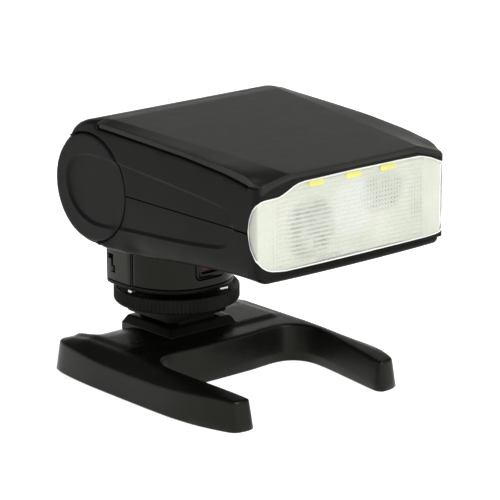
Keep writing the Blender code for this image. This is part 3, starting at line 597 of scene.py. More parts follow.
def make_foot():
    """Foot of the flash: slide plate, stem, clamp block and neck stub."""
    levels = [(8.6, 8.75, 8.42, 0.5), (9.1, 9, 8.6, 0.7), (9.15, 9.05, 9.9, 0.7), (8.9, 8.9, 10.15, 0.6),
              (6.2, 8.75, 10.2, 0.5), (6.2, 8.75, 14, 0.5), (9.9, 9, 14.1, 0.9), (10.4, 9.1, 14.5, 1),
              (10.4, 9.1, 17.2, 1), (10.2, 8.9, 17.5, 0.9)]
    rings = [[(x, y, z) for x, y in rounded(-w, FOOT_Y - d, w, FOOT_Y + d, r, 5)] for w, d, z, r in levels]
    rings += [[(x, y, z) for x, y in arc(0, FOOT_Y, r, 225, 571, len(rings[0]) - 1)]
              for r, z in ((6, 17.5), (6, 22), (5.8, 22.25))]
    foot = loft("foot_form", rings, 30)
    contacts = ((0, 28.2), (-4.3, 31.6), (4.3, 31.6), (-4.3, 26.4), (4.3, 26.4))
    drills = [drill(x, y, 1.08, 5, 11.2) for x, y in contacts]
    drills.append(drill(0, 23.6, 1.2, 5, 15.2))
    cut(foot, drills, angle=30)
    finish(foot, KNURL, "base", "body_black", "shoe_foot")


# ---- ring and neck

def make_ring():
    """Locking ring with fine upright knurls on its crest."""
    knurls, per, crest, knurl_depth = 96, 6, 17.2, 0.34
    levels = [(6.4, 17.85), (16.3, 17.85), (16.8, 17.95), (17, 18.2), (crest, 18.4), (crest, 21.6)]
    levels += [(17, 21.85), (16.8, 22.05), (16.3, 22.08), (15.9, 21.9), (15.8, 21.55), (6.4, 21.5)]
    verts = []
    n = knurls * per
    for r, z in levels:
        for i in range(n):
            a = 2 * math.pi * i / n
            t = (i % per) / per
            dip = knurl_depth * (1 - abs(2 * t - 1)) if r == crest else 0
            verts.append(((r - dip) * math.cos(a), FOOT_Y + (r - dip) * math.sin(a), z))
    faces = grid_faces(len(levels), n)
    last = (len(levels) - 1) * n
    for j in range(n):
        k = (j + 1) % n
        faces.append((j, k, last + k, last + j))
    ring = build("knurled_ring", verts, faces, 28)
    finish(ring, KNURL, "ring", "ring_black", "locking_ring")


def neck_outline():
    """Smooth plan of the neck, front centre first, anticlockwise."""
    half = [(5.4, 14.1), (9.4, 16), (12.4, 18.9), (14.6, 23), (15.8, 27.6), (16, 32)]
    half += [(15.9, 36.4), (15.2, 39.4), (13.2, 40.8), (9, 41.15)]
    pts = [(0, 13.65)] + half + [(0, 41.2)] + [(-x, y) for x, y in half[::-1]]
    return resample(smooth_curve(pts, 10), 0.5)


def neck_strip(name, inner, outer, z0, z1, keep, r=0.25):
    """Curved plate on the neck's skin, between two insets, where keep(x, y)."""
    outline = neck_outline()
    run = runs([keep(x, y) for x, y in outline])[0]
    layers = [offset(outline, inset) for inset in (outer, inner, outer + r)]
    rings = []
    for k in run:
        o, p, s = [layer[k] for layer in layers]
        if k in (run[0], run[-1]):
            o = s
        rings.append([(*p, z0), (*s, z0), (*o, z0 + r), (*o, z1 - r), (*s, z1), (*p, z1)])
    return loft(name, rings, 30)


def make_neck():
    """Neck housing, glossy wrap-round window, side panels and tabs."""
    outline = neck_outline()
    rings = []
    levels = [(1.3, 22.65, 0), (0.5, 22.75, 0), (0.1, 23, 0), (0, 23.3, 0), (0, 34, 0), (0.05, 37, 0.3)]
    levels += [(0.1, 40, 1), (0.3, 43, 2), (0.4, 45.4, 3)]
    for inset, z, rear in levels:
        ring = []
        for x, y in offset(outline, inset):
            back = step01((y - 28) / 12)
            ring.append((x, y - rear * back, z))
        rings.append(ring)
    neck = loft("neck_shell", rings, 35)
    drum = drill(*DRUM, 15.4, -40, 40, "X", 72)
    front = block((-20, 0, 38.6), (20, 21.2, 60))
    window = neck_strip("window_cut", 1.5, -1, 24, 40.5, lambda x, y: y < 27.9, 0)
    sides = [neck_strip("side_cut", 1.3, -1, 23.85, 37, lambda x, y: x * side > 0 and 27.7 < y < 39.6, 0)
             for side in (-1, 1)]
    cut(neck, [drum, front, window] + sides)
    finish(neck, BODY, "base", "body_black", "neck_housing")
    glass = neck_strip("window_form", 1.4, 0, 24.15, 38.4, lambda x, y: y < 27.9)
    hole = prism(rounded(-5, 26.2, 5, 36.6, 1.6), 5, 25, "Y")
    cut(glass, [hole])
    finish(glass, GLOSS, "base", "gloss_black", "front_window")
    for side, word in ((-1, "left"), (1, "right")):
        panel = neck_strip("panel_" + word, 1.2, -0.02, 24, 36.8,
                           lambda x, y: x * side > 0 and 28.2 < y < 39.3)
        if side < 0:
            slot = [(34.8, 26.3), (36.7, 26.3), (36.7, 29.9), (38.2, 29.9), (38.2, 31.4), (35.6, 31.4),
                    (35.6, 28.4), (34.8, 28.4)]
            cut(panel, [prism(slot, -20, -10, "X")])
        finish(panel, GREY, "base", "grey_panel", "side_panel_" + word)
    bezel = soft_prism("bezel_form", rounded(-4.7, 26.5, 4.7, 36.3, 1.4, 8), 13.7, 14.6, "Y", 0.25)
    cut(bezel, [prism(rounded(-3.3, 27.9, 3.3, 34.9, 0.8), 5, 25, "Y")])
    finish(bezel, GLOSS, "base", "body_black", "sensor_bezel")
    border = rounded(-3.05, 28.15, 3.05, 34.65, 0.7)
    eye = []
    for k in range(7):
        t = k / 6
        y = 13.95 - 0.35 * math.sin(t * math.pi / 2) + 0.4
        eye.append([(x * (1 - 0.22 * t), y, 31.4 + (z - 31.4) * (1 - 0.22 * t)) for x, z in border])
    sensor = loft("sensor_form", eye[::-1] + [[(x, 15.2, z) for x, z in border]])
    finish(sensor, RED, "base", "red_window", "sensor_lens")
    tab = soft_prism("tab_left_form", rounded(27.3, 22.25, 28.8, 23.15, 0.3), -16.45, -14.5, "X", 0.2)
    finish(tab, STEEL, "base", "steel", "ring_tab_left")
    tab = soft_prism("tab_front_form", rounded(3.2, 22.25, 6, 23.15, 0.3), 13.5, 15.4, "Y", 0.2)
    finish(tab, STEEL, "base", "steel", "ring_tab_front")


# ---- drum

RECESS = [(13.5, 64), (20.5, 64.2), (26, 63.9), (30.4, 62.6), (33.4, 59.8), (34.5, 56.4), (34, 52.9)]
RECESS += [(32.3, 49.7), (29.6, 47.3), (26.3, 45.8), (22.5, 45.1), (17.5, 45.2), (11.7, 45.8), (1.2, 46.5)]
RECESS += [(-13.7, 47.5), (-25.5, 48.8), (-30.2, 50), (-32.6, 52.3), (-33.4, 55.6), (-32, 58.8), (-28.2, 60.5)]
RECESS = resample(smooth_curve(RECESS + [(-18.7, 61.6), (-3.7, 62.8), (6, 63.5)], 8), 0.55)
RECESS_WALL = 0.85        # width of the recess's sloping wall
RECESS_DEPTH = 0.62


def recess_depth(points):
    """Depth of the long thumb recess at points (y, z) of a side."""
    return list(RECESS_DEPTH * np.clip(inside_distance(points, RECESS) / RECESS_WALL, 0, 1))


def crease_lines(outline):
    """Parts of the recess's two edges that lie inside an outline."""
    chains = []
    for loop in (RECESS, offset(RECESS, RECESS_WALL)):
        keep = inside_distance(loop, outline) > 0.25
        if keep.all():
            chains.append(loop + loop[:1])
        else:
            chains += [[loop[i] for i in run] for run in runs(keep) if len(run) > 1]
    return chains


def disc_mesh(name, side, x_in, trim):
    """End disc of the drum with a rolled rim and the recess pressed in it."""
    n = 120
    ring = circle(*DRUM, 13.6, n)
    flat, tris = fill_flat(ring, 0.9, crease_lines(ring))
    verts = [(side * (HALF - d), y, z) for (y, z), d in zip(flat, recess_depth(flat))]
    faces = list(tris)
    roll = [math.radians(a) for a in range(0, 91, 15)]
    rim = [(13.6 + 0.9 * math.sin(a), 0.9 - 0.9 * math.cos(a)) for a in roll]
    rim += [(14.5, 1.15), (14.6, 1.25), (14.95, 1.27), (15.08, 1.33), (15.14, 1.45), (15.15, HALF - x_in)]
    start = len(verts)
    for r, drop in rim:
        ring = circle(*DRUM, r, n)
        fade = step01((14.9 - r) / 0.4)
        for (y, z), d in zip(ring, recess_depth(ring)):
            verts.append((side * (HALF - max(drop, d * fade)), y, z))
    faces += grid_faces(len(rim), n, True, start)
    last = start + (len(rim) - 1) * n
    faces.append(tuple(range(last, last + n)))
    disc = build(name, verts, faces, 40)
    if trim < 39.0:
        cut(disc, [block((-40, trim, 30), (40, 60, 80))], angle=40)
    return disc


def control_cutters(key_r, lamp_r, slider):
    """Cutters for the four buttons, the lamp and the power slider."""
    keys = [drill(x, DRUM[1], key_r, 30, 42, "Y", 45) for _, x in KEYS]
    return keys + [slider, drill(*LAMP, lamp_r, 34, 42, "Y")]


def make_drum():
    """Drum shell, its two discs, the hinge pin and the control panel."""
    profile = [(0, 25.6), (14.2, 25.6), (14.2, -29.2), (14.3, -29.3), (15.1, -29.3), (15.2, -29.2)]
    profile += [(15.2, 26.9), (15.1, 27), (0, 27)]
    drum = turned("drum_form", profile, DRUM, "X", 120)
    ears = [block((-31.3, 37.9, DRUM[1] + z), (-28.8, 38.8, DRUM[1] + z + 1)) for z in (3.1, -4.1)]
    cut(drum, ears, "UNION")
    seat = prism(arc(*DRUM, 16.5, -47, 47, 30) + arc(*DRUM, 14.72, 47, -47, 30), -21.8, 21.8, "X")
    cut(drum, [seat] + control_cutters(2.6, 1.1, block((10.5, 34, 53), (19.5, 42, 56.8))))
    finish(drum, BODY, "base", "body_black", "drum_shell")
    door = disc_mesh("door_form", -1, 29.6, 38.6)
    notches = [block((-31.9, 37, DRUM[1] + z), (-20, 60, DRUM[1] + z + 1.4)) for z in (2.9, -4.3)]
    cut(door, notches)
    finish(door, DISH, "door", "body_black", "battery_door")
    profile = [(0, 50.6), (0.16, 50.62), (0.25, 50.72), (0.25, 59.08), (0.16, 59.18), (0, 59.2)]
    pin = turned("hinge_pin_form", profile, HINGE, "Z", 24)
    finish(pin, STEEL, "base", "steel", "door_hinge_pin")
    cap = disc_mesh("cap_form", 1, 29, 60)
    hub = turned("hub", [(0, 29.6), (8.4, 29.6), (8.4, 27.4), (8.2, 27.3), (0, 27.3)], DRUM, "X")
    cut(cap, [hub], "UNION")
    finish(cap, DISH, "base", "body_black", "end_cap")
    outline = arc(*DRUM, 15.17, -45.5, 45.5, 30) + arc(*DRUM, 14.8, 45.5, -45.5, 30)
    panel = soft_prism("panel_form", outline, -21.5, 21.5, "X", 0.12)
    hole = prism(rounded(10.8, 53.3, 19.2, 56.5, 0.5), 34, 42, "Y")
    cut(panel, control_cutters(2.5, 1, hole))
    finish(panel, GLOSS, "base", "gloss_black", "control_panel")


def make_controls():
    """Domed buttons with raised marks, ribbed sliders and lamp."""
    z = DRUM[1]
    dome = [(2.2, 39.4), (2.12, 39.62), (1.9, 39.76), (1.5, 39.84), (0, 39.86)]
    profile = [(0, 37.6), (2.1, 37.6), (2.2, 37.7)] + dome
    for name, x in KEYS:
        key = turned(name + "_key_form", profile, (x, z), "Y", 48)
        finish(key, GREY, name + "_key", "grey_panel", name + "_button")
        bar = rounded(x - 1, z - 0.18, x + 1, z + 0.18, 0.15, 3)
        upright = rounded(x - 0.18, z - 1, x + 0.18, z + 1, 0.15, 3)
        marks = {"mode": [circle(x, z, 0.85, 36)], "minus": [bar], "plus": [bar, upright],
                 "test": [circle(x, z, 0.45, 36)]}[name]
        for k, mark in enumerate(marks):
            piece = soft_prism("%s_mark_%d" % (name, k), mark, 39.75, 39.95, "Y", 0.08, 2)
            finish(piece, WHITE, name + "_key", "white_plastic")
    slider = soft_prism("slider_form", rounded(11.3, 53.75, 15.3, 56.05, 0.4), 37.4, 39.9, "Y")
    grooves = [block((11.9 + 0.8 * i, 39.65, 50), (12.2 + 0.8 * i, 42, 60)) for i in range(4)]
    cut(slider, grooves)
    finish(slider, GREY, "power_slider", "grey_panel", "power_switch")
    profile = [(0, 36.6), (0.85, 36.6), (0.85, 38.1), (0.75, 38.35), (0.5, 38.55), (0, 38.6)]
    lamp = turned("lamp_form", profile, LAMP, "Y", 32)
    finish(lamp, RED, "base", "red_window", "ready_lamp")
    slide = soft_prism("neck_slider_form", rounded(35.72, 26.5, 36.58, 28.2, 0.3), -16, -13.6, "X")
    finish(slide, GREY, "neck_slider", "grey_panel", "side_switch")


def make_cells():
    """Two cells with crimped rims and raised poles."""
    for name, sign, z in (("cell_upper", 1, 7.1), ("cell_lower", -1, -7.1)):
        body = [(0, -24.75), (5.6, -24.75), (5.9, -24.45), (6.4, -24.5), (6.8, -24.75), (7, -24.4)]
        body += [(6.93, -24), (6.95, 23.6), (7, 23.9), (6.9, 24.4), (6.2, 24.75), (3.3, 24.72), (2.75, 24.8)]
        body += [(2.75, 25.5), (2.5, 25.75), (0, 25.75)]
        cell = turned(name + "_form", [(r, sign * s - 2.6) for r, s in body], (DRUM[0], DRUM[1] + z), "X")
        finish(cell, CELL, "base", "cell_can", name)


# ---- head

# Height of the top cover's side edges along y.
EDGE = [(-44.5, 66.9), (-42, 67.5), (-38, 68.8), (-29, 70.2), (-14, 71.5), (0.8, 72.2), (21, 73)]


def head_warp(x, y, z):
    """Plan taper towards the lens and slight draft of the side walls."""
    below = max(0, 55.3 - z) / 15.3
    above = max(0, z - 55.3) / 15.0
    taper = 0.55 * step01((8.0 - y) / 50)
    draft = (1.2 * below ** 2 + 0.35 * above ** 2) * step01((26.0 - y) / 12)
    return (x * (1.0 - (taper + draft) / HALF), y, z)


def front_bow(x):
    """How far the front edge falls back from the middle to the corners."""
    t = abs(x) / HALF
    return 0.9 * t * t + 0.7 * max(0, (t - 0.88) / 0.12) ** 2


# Front edge of the side walls, y and z, where the lens wraps round the corner.
SIDE_FRONT = [(-41, 44.42), (-41, 47.5), (-41, 49.3), (-39.8, 51.2), (-39.13, 53), (-38.85, 54.6)]
SIDE_FRONT += [(-38.8, 55.3), (-38.85, 56.6), (-39.17, 59), (-39.85, 60.55), (-40.5, 61.8), (-41, 62.4)]
SIDE_FRONT += [(-41, 64), (-41, 65.6)]


def seam_line(seam):
    """Points along the seam between the shells, from the lens to the drum."""
    return [(-38.8 + (47.9 * i / 40), seam) for i in range(1, 40)]


def side_front(points, seam):
    """Front edge of a side wall, as far as the seam."""
    return smooth_curve(points + [(-38.8, seam)], 4, False)


def bowed(x, y, z):
    """Plan taper of the head, with its front edge bowed like the lens."""
    return head_warp(x, y + front_bow(x) * step01((-40 - y) / 3), z)


def shell(name, profile, weights, cavity):
    """Head shell: rolled side rims, recessed side walls and a hollow inside."""
    stations = [(HALF, 1), (31.96, 0.82), (31.84, 0.64), (31.6, 0.42), (31.25, 0.22), (30.8, 0.08), (30.2, 0)]
    xs = [-s for s, _ in stations] + [-24, -16, -8, 0, 8, 16, 24] + [s for s, _ in stations[::-1]]
    insets = [i for _, i in stations] + [0] * 7 + [i for _, i in stations[::-1]]
    rings = [[(x, a, b) for a, b in offset(profile, inset, weights)] for x, inset in zip(xs, insets)]
    verts, faces = tube(rings)
    n = len(profile)
    ring = [p[1:] for p in rings[0]]
    flat, tris = fill_flat(ring, 1.1, crease_lines(ring))
    depth = recess_depth(flat)
    for side in (-1, 1):
        faces += [tuple(len(verts) + i for i in t) for t in tris]
        verts += [(side * (HALF - d), a, b) for (a, b), d in zip(flat, depth)]
    for k, d in enumerate(recess_depth(ring)):
        for step in range(len(stations)):
            for i in (step * n + k, (len(rings) - 1 - step) * n + k):
                x, y, z = verts[i]
                verts[i] = (math.copysign(min(abs(x), HALF - d), x), y, z)
    obj = build(name, verts, faces, 32, 0.00002)
    cut(obj, [prism(cavity, -30.3, 30.3, "X")], angle=32)
    cut(obj, [drill(*DRUM, 15.5, -31, 31, "X", 144)], angle=32)
    return obj


def make_lower_shell():
    """Lower half of the head: curved belly, lip under the lens, neck notch."""
    seam = 55.18
    cheek = arc(*DRUM, 14.8, 179, 262, 52)
    belly = [(21.9, 39.75), (20.6, 39.25), (18.4, 38.98), (13, 39.05), (8, 39.4), (-0.75, 40.1), (-10, 41)]
    belly = smooth_curve(belly + [(-20.75, 42), (-30, 42.62), (-37, 42.72), (-41.8, 42.55)], 5, False)
    lip = [(-42.9, 42.6), (-43.6, 42.95), (-43.85, 43.5), (-43.72, 44.1), (-43.4, 44.42)]
    lip = smooth_curve(lip, 3, False)
    front = side_front([p for p in SIDE_FRONT if p[1] < seam], seam)
    top = seam_line(seam)
    profile = cheek + belly + lip + front + top
    weights = [0.15] * len(cheek) + [0.5] * 3 + [1.3] * (len(belly) - 3) + [1.2] * len(lip)
    weights += [0.3] * len(front) + [0.1] * len(top)
    wall = arc(*DRUM, 17, 179, 236, 20)
    room = [(8, 41), (-0.75, 41.7), (-20.75, 43.7), (-37.4, 45.2), (-39.4, 45.6), (-39.4, 70), (7, 70)]
    obj = shell("lower_shell_form", profile, weights, wall + room)
    mouth = block((-30.6, -60, 44.5), (30.6, -38, 70))
    notch = block((-17, 12.7, 20), (17, 60, 45.6))
    lug = block((27.1, 2, 49), (28.9, 14, 54))
    cutters = [mouth, notch, lug]
    for side in (-1, 1):
        cutters.append(drill(side * 23, -8, 2.4, 30, 41.6, n=36))
        cutters.append(drill(side * 23, -8, 1.2, 30, 50, n=36))
    cut(obj, cutters, angle=32)

    def shape(x, y, z):
        drop = max(0, min(1, (47.5 - z) / 6)) * step01((abs(x) - 26) / 3) * step01((15.0 - y) / 9)
        return bowed(x - math.copysign(0.95 * drop * drop, x), y, z)

    warp(obj, shape)
    finish(obj, BODY, "head", "body_black", "head_lower_shell")


def make_upper_shell():
    """Upper half of the head, with the hood that follows the drum."""
    seam = 55.42
    cheek = arc(*DRUM, 14.8, 178.1, 58, 68)
    polar = ((15, 57), (15.35, 58.2), (15.85, 61.5), (16.55, 67), (17.25, 75), (17.85, 84))
    tip = [arc(*DRUM, r, a, a, 1)[0] for r, a in polar]
    hood = smooth_curve(tip + [(24, 73.12), (22.2, 73.25), (21.4, 73.1), (21.25, 72.6)], 4, False)
    top = [(21.2, 71)] + [(20.4 - 3.0 * i, table(20.4 - 3.0 * i, EDGE) - 1.62) for i in range(21)]
    top += [(-42.6, 65.75)]
    front = side_front([p for p in SIDE_FRONT if p[1] > seam][::-1], seam)
    base = seam_line(seam)
    profile = cheek + hood + top + front + base
    weights = [0.15] * len(cheek) + [0.3] * 2 + [1.3] * (len(hood) - 2) + [0.45] * len(top)
    weights += [0.3] * len(front) + [0.1] * len(base)
    wall = arc(*DRUM, 17, 178.5, 122, 24)
    room = [(12, 68.6), (-14, 67.5), (-29, 66), (-39.4, 64.6), (-39.4, 45), (7, 45)]
    obj = shell("upper_shell_form", profile, weights, wall + room)
    mouth = block((-30.6, -60, 40), (30.6, -38, 80))
    roof = block((-19, -50, 60), (19, -35.5, 80))
    cut(obj, [mouth, roof], angle=32)
    warp(obj, bowed)
    finish(obj, BODY, "head", "body_black", "head_upper_shell")


def fillet(points, radii, n=4):
    """Round each corner of a closed outline."""
    out = []
    m = len(points)
    for i in range(m):
        p = Vector(points[i])
        a = Vector(points[i - 1]) - p
        b = Vector(points[(i + 1) % m]) - p
        r = min(radii[i], a.length * 0.45, b.length * 0.45)
        a.normalize()
        b.normalize()
        for k in range(n + 1):
            t = k / n
            q = p + a * r * (1 - t) ** 2 + b * r * t ** 2
            out.append((q.x, q.y))
    return out


def make_cover():
    """Top cover: flat roof, long chamfers, undercut edges and a deep brow."""
    stations = [(-44.25, 0.3, 0.16), (-44.2, 0.12, 0.05), (-44.05, 0.02, 0)]
    stations += [(-43.5, 0, 0), (-42.6, 0, 0), (-41.4, 0, 0)]
    stations += [(-40.0 + 2.5 * i, 0, 0) for i in range(24)]
    stations += [(20.4, 0, 0), (20.75, 0.1, 0.1), (20.9, 0.35, 0.35)]
    rings = []
    for y, top_in, low_in in stations:
        top = 69.95 + 3.85 * (y + 43) / 64.0 - top_in
        under = top + top_in - 1.5 + low_in
        undercut = 0.5 * step01((y + 42.6) / 3)
        sides = []
        for side in (-1, 1):
            edge = table(y, EDGE) + (0.9 if side < 0 else -0.15) * step01((-16.0 - y) / 26) - top_in
            half = 22.0 + 7.0 * (y + 43) / 64.0 + (0.8 if side < 0 else 0.2) * step01((-20.0 - y) / 22)
            corner = 0.9 * step01((-39.5 - y) / 4.6)
            w = 31.95 - 0.4 * top_in - corner * corner
            low = table(y, EDGE) - 1.55 + low_in
            side_pts = [(w - undercut, low), (w - undercut, edge - 0.5), (w, edge - 0.25), (w, edge)]
            sides.append(side_pts + [(half, top), (half - 0.6, under)])
        pts = [(-x, z) for x, z in sides[0][:5]] + sides[1][4::-1]
        pts += [sides[1][5], (-sides[0][5][0], sides[0][5][1])]
        ring = fillet(pts, [0.1, 0.1, 0.1, 0.3, 0.5, 0.5, 0.3, 0.1, 0.1, 0.1, 0.2, 0.2])
        dense = []
        for (x0, z0), (x1, z1) in zip(ring, ring[1:] + ring[:1]):
            parts = 10 if abs(x1 - x0) > 30.0 else (3 if abs(x1 - x0) > 2.0 else 1)
            for k in range(parts):
                dense.append((x0 + (x1 - x0) * k / parts, z0 + (z1 - z0) * k / parts))
        rings.append([(x, y + front_bow(x) * step01((-38.0 - y) / 5), z) for x, z in dense])
    count = min(len(r) for r in rings)
    rings = [r if len(r) == count else [tuple(p) for p in resample(r, 1)][:count] for r in rings]
    cover = loft("cover_form", rings, 30)
    warp(cover, head_warp)
    finish(cover, COVER, "head", "cover_black", "top_cover")


def lens_plan():
    """Plan of the lens front: side, rounded corner, slow bow, other side."""
    near = [(31.35, -38.75), (31.35, -39.6), (31.33, -40.4), (31.25, -41.1), (31, -41.7), (30.5, -42.08)]
    near.append((29.6, -42.3))
    far = [(31.45, -38.75), (31.52, -40), (31.55, -41), (31.5, -41.8), (31.25, -42.35), (30.7, -42.6)]
    far.append((29.8, -42.65))
    for x in range(28, -1, -2):
        near.append((float(x), -43.05 + 0.85 * (x / 31) ** 2))
        far.append((float(x), -43.05 + 0.42 * (x / 31) ** 2))
    pts = far + [(-x, y) for x, y in near[::-1][1:]]
    return resample(smooth_curve(pts, 6, False), 0.26, False)


# Lens edges: heights along y on the side walls, then along |x| across the front.
FAR_LOW = [(-41.8, 46), (-40.9, 47.6), (-39.8, 50.2), (-39.13, 52.6), (-38.75, 55.2)]
FAR_LOW_FRONT = [(0, 44.9), (26, 44.9), (29, 45.05), (30.4, 45.3), (31.5, 46)]
FAR_HIGH = [(-41.8, 63.9), (-40.5, 62.3), (-39.85, 60.8), (-39.17, 59), (-38.75, 56.4)]
FAR_HIGH_FRONT = [(0, 67.25), (16, 67.1), (22.6, 66.95), (24.3, 66.6), (26.8, 65.9), (31.5, 63.9)]
NEAR_LOW = [(-41.6, 48.4), (-40.9, 49.5), (-39.8, 51.2), (-39.13, 53), (-38.75, 55.2)]
NEAR_LOW_FRONT = [(0, 44.9), (22, 44.88), (24.2, 45.05), (26.6, 45.42), (28.15, 45.96), (29.7, 46.95)]
NEAR_LOW_FRONT.append((31, 48.4))
NEAR_HIGH = [(-41.6, 63.1), (-40.5, 61.8), (-39.85, 60.55), (-39.17, 59), (-38.75, 56.4)]
NEAR_HIGH_FRONT = [(0, 67.25), (16, 67), (18.2, 66.75), (19.8, 66.2), (21.6, 65.3), (23.4, 64.5), (24.6, 64.15)]
NEAR_HIGH_FRONT += [(26, 64.07), (29, 64), (30.2, 63.75), (31, 63.1)]


def lens_edge(x, y, far, far_front, near, near_front):
    """Height of one edge of the lens round its plan."""
    wall, front = (far, far_front) if x > 0 else (near, near_front)
    return table(y, wall) if y > wall[0][0] else table(abs(x), front)


def lens_low(x, y):
    """Height of the lens's lower edge."""
    return lens_edge(x, y, FAR_LOW, FAR_LOW_FRONT, NEAR_LOW, NEAR_LOW_FRONT)


def lens_high(x, y):
    """Height of the lens's upper edge."""
    return lens_edge(x, y, FAR_HIGH, FAR_HIGH_FRONT, NEAR_HIGH, NEAR_HIGH_FRONT)


def plan_and_inward():
    """Plan points of the lens with their inward directions."""
    pts = np.array(lens_plan())
    tangent = np.gradient(pts, axis=0)
    tangent /= np.linalg.norm(tangent, axis=1)[:, None]
    inward = np.stack([-tangent[:, 1], tangent[:, 0]], axis=1)
    if inward[len(pts) // 2][1] < 0:
        inward = -inward
    return pts, inward


def curved_sheet(name, rows, front, back, angle):
    """Closed sheet over the lens plan; front and back give depths at (x, z, edge)."""
    pts, inward = plan_and_inward()
    n = len(pts)
    sides = []
    for depth in (front, back):
        side = []
        for j in range(rows):
            v = j / (rows - 1)
            for i in range(n):
                x, y = pts[i]
                low, high = lens_low(x, y) + 0.06, lens_high(x, y) - 0.06
                z = low + (high - low) * v
                edge = min(z - low, high - z, 0.26 * min(i, n - 1 - i))
                t = depth(x, z, edge)
                side.append((x + inward[i][0] * t, y + inward[i][1] * t, z))
        sides.append(side)
    count = rows * n
    faces = grid_faces(rows, n, False) + grid_faces(rows, n, False, count)
    for i in range(n - 1):
        for a in (i, (rows - 1) * n + i):
            faces.append((a, a + 1, count + a + 1, count + a))
    for j in range(rows - 1):
        for a in (j * n, j * n + n - 1):
            faces.append((a, a + n, count + a + n, count + a))
    return build(name, sides[0] + sides[1], faces, angle)


def make_lens():
    """Clear bowed skin over a ribbed, milky light spreader."""
    def skin(x, z, edge):
        return 0.4 * (1.0 - math.sqrt(max(0, 1.0 - (1.0 - min(1, edge / 0.45)) ** 2)))

    def ribbed(x, z, edge):
        plain = step01((abs(x) - 24.4) / 0.5)
        saw = ((z + 0.0008 * x * x) / RIB_PITCH) % 1.0
        saw = saw / 0.8 if saw < 0.8 else (1.0 - saw) / 0.2
        cross = abs(((x / CROSS_PITCH) % 1) * 2.0 - 1)
        return 1.0 + (1.0 - plain) * (0.45 * saw + 0.08 * cross) - 0.3 * plain * step01((abs(x) - 25.5) / 0.6)

    lens = curved_sheet("lens_form", 26, skin, lambda x, z, edge: 0.55, 30)
    finish(lens, LENS, "head", "lens", "flash_lens")
    ribs = curved_sheet("lens_ribs", 118, ribbed, lambda x, z, edge: 2, 22)
    finish(ribs, RIBS, "head", "lens")
    pts, inward = plan_and_inward()
    # The bead runs along the lower edge and back along the upper one.
    path = []
    for order, height, shift in ((1, lens_low, 0.2), (-1, lens_high, -0.2)):
        for (x, y), d in zip(pts[::order], inward[::order]):
            path.append((x + d[0] * 0.14, y + d[1] * 0.14, height(x, y) + shift))
    n = len(path)
    rings = []
    for i in range(n):
        along = (Vector(path[(i + 1) % n]) - Vector(path[i - 1])).normalized()
        k = i if i < n // 2 else n - 1 - i
        side = Vector((inward[k][0], inward[k][1], 0))
        side = (side - along * side.dot(along)).normalized()
        rise = along.cross(side)
        rings.append([tuple(Vector(path[i]) + side * u + rise * v) for u, v in circle(0, 0, BEAD, 8)])
    rings.append(rings[0])
    bead = build("lens_rim", *tube(rings), 60, 0.00002)
    finish(bead, RIM, "head", "lens")


def make_lens_frame():
    """Dark frame round the lens: chin corners below and brow lining above."""
    pts, inward = plan_and_inward()
    roof = [(-32, 66.9), (-22.8, 68.75), (22.2, 68.75), (32, 65.95)]
    spans = (("chin_frame", lambda x, y: 44.15, lambda x, y: lens_low(x, y) - 0.05),
             ("brow_frame", lambda x, y: lens_high(x, y) + 0.05, lambda x, y: table(x, roof)))
    for name, low, high in spans:
        rings = []
        for (x, y), d in zip(pts, inward):
            z0, z1 = low(x, y), high(x, y)
            o, s, p = [(x + d[0] * depth, y + d[1] * depth) for depth in (-0.08, 0.04, 1.7)]
            rings.append([(*p, z0), (*s, z0), (*o, z0 + 0.12), (*o, z1 - 0.12), (*s, z1), (*p, z1)])
        strip = loft(name, rings, 30)
        finish(strip, BODY, "head", "body_black")


def make_reflector():
    """Curved trough with thin walls, the tube and the diode strip."""
    outer = [(-40.6, 64.2), (-36, 63.4), (-31, 61.4), (-28.2, 58.4), (-27.6, 56), (-28.2, 53.6), (-31, 50.6)]
    outer = smooth_curve(outer + [(-36, 48.6), (-40.6, 47.8)], 6, False)
    inner = offset(outer + [(-40.7, 47.8)], 0.55)[:-1]
    loop = outer + inner[::-1]
    rings = [[(x, a, b) for a, b in loop] for x in np.linspace(-18.3, 18.3, 25)]
    trough = loft("reflector_form", rings, 40)
    finish(trough, MIRROR, "head", "mirror", "reflector")
    plate = offset(outer + [(-40.6, 47.8)], 0.6)[:-1]
    for word, x in (("left", -18.3), ("right", 18.3)):
        cheek = soft_prism("reflector_end_" + word, plate, x - 0.35, x + 0.35, "X", 0.1, 2)
        finish(cheek, MIRROR, "head", "mirror")
    half = [(0, 17.4), (0.45, 17.35), (0.5, 16.2), (1.2, 16), (1.5, 15.6)]
    lamp = turned("tube_form", [(r, -x) for r, x in half] + half[::-1], (-31.6, 56), "X", 32)
    finish(lamp, GLASS, "head", "tube_glass", "flash_tube")
    for i, x in ((1, -12), (2, 0.4), (3, 12)):
        plate = rounded(x - 2.5, 64.95, x + 2.5, 66.4, 0.3)
        led = soft_prism("led_form_%d" % i, plate, -42.3, -42.02, "Y", 0.1, 2)
        finish(led, YELLOW, "head", "phosphor", "led_%d" % i)
    rim = [(x, lens_low(x, -43) + 0.5) for x in np.linspace(-29.9, 29.9, 41)]
    rim += [(x, lens_high(x, -43) - 0.35) for x in np.linspace(29.9, -29.9, 41)]
    sheet = prism(rim, -41, -38.3, "Y", "lens_liner")
    cut(sheet, [prism(offset(rim, 0.5), -50, -38.8, "Y")])
    cut(sheet, [prism(rounded(-18, 48.1, 18, 63.9, 1.2), -45, -35, "Y")])
    finish(sheet, WHITE, "head", "white_plastic", "led_board")


# ---- carried CAD nodes

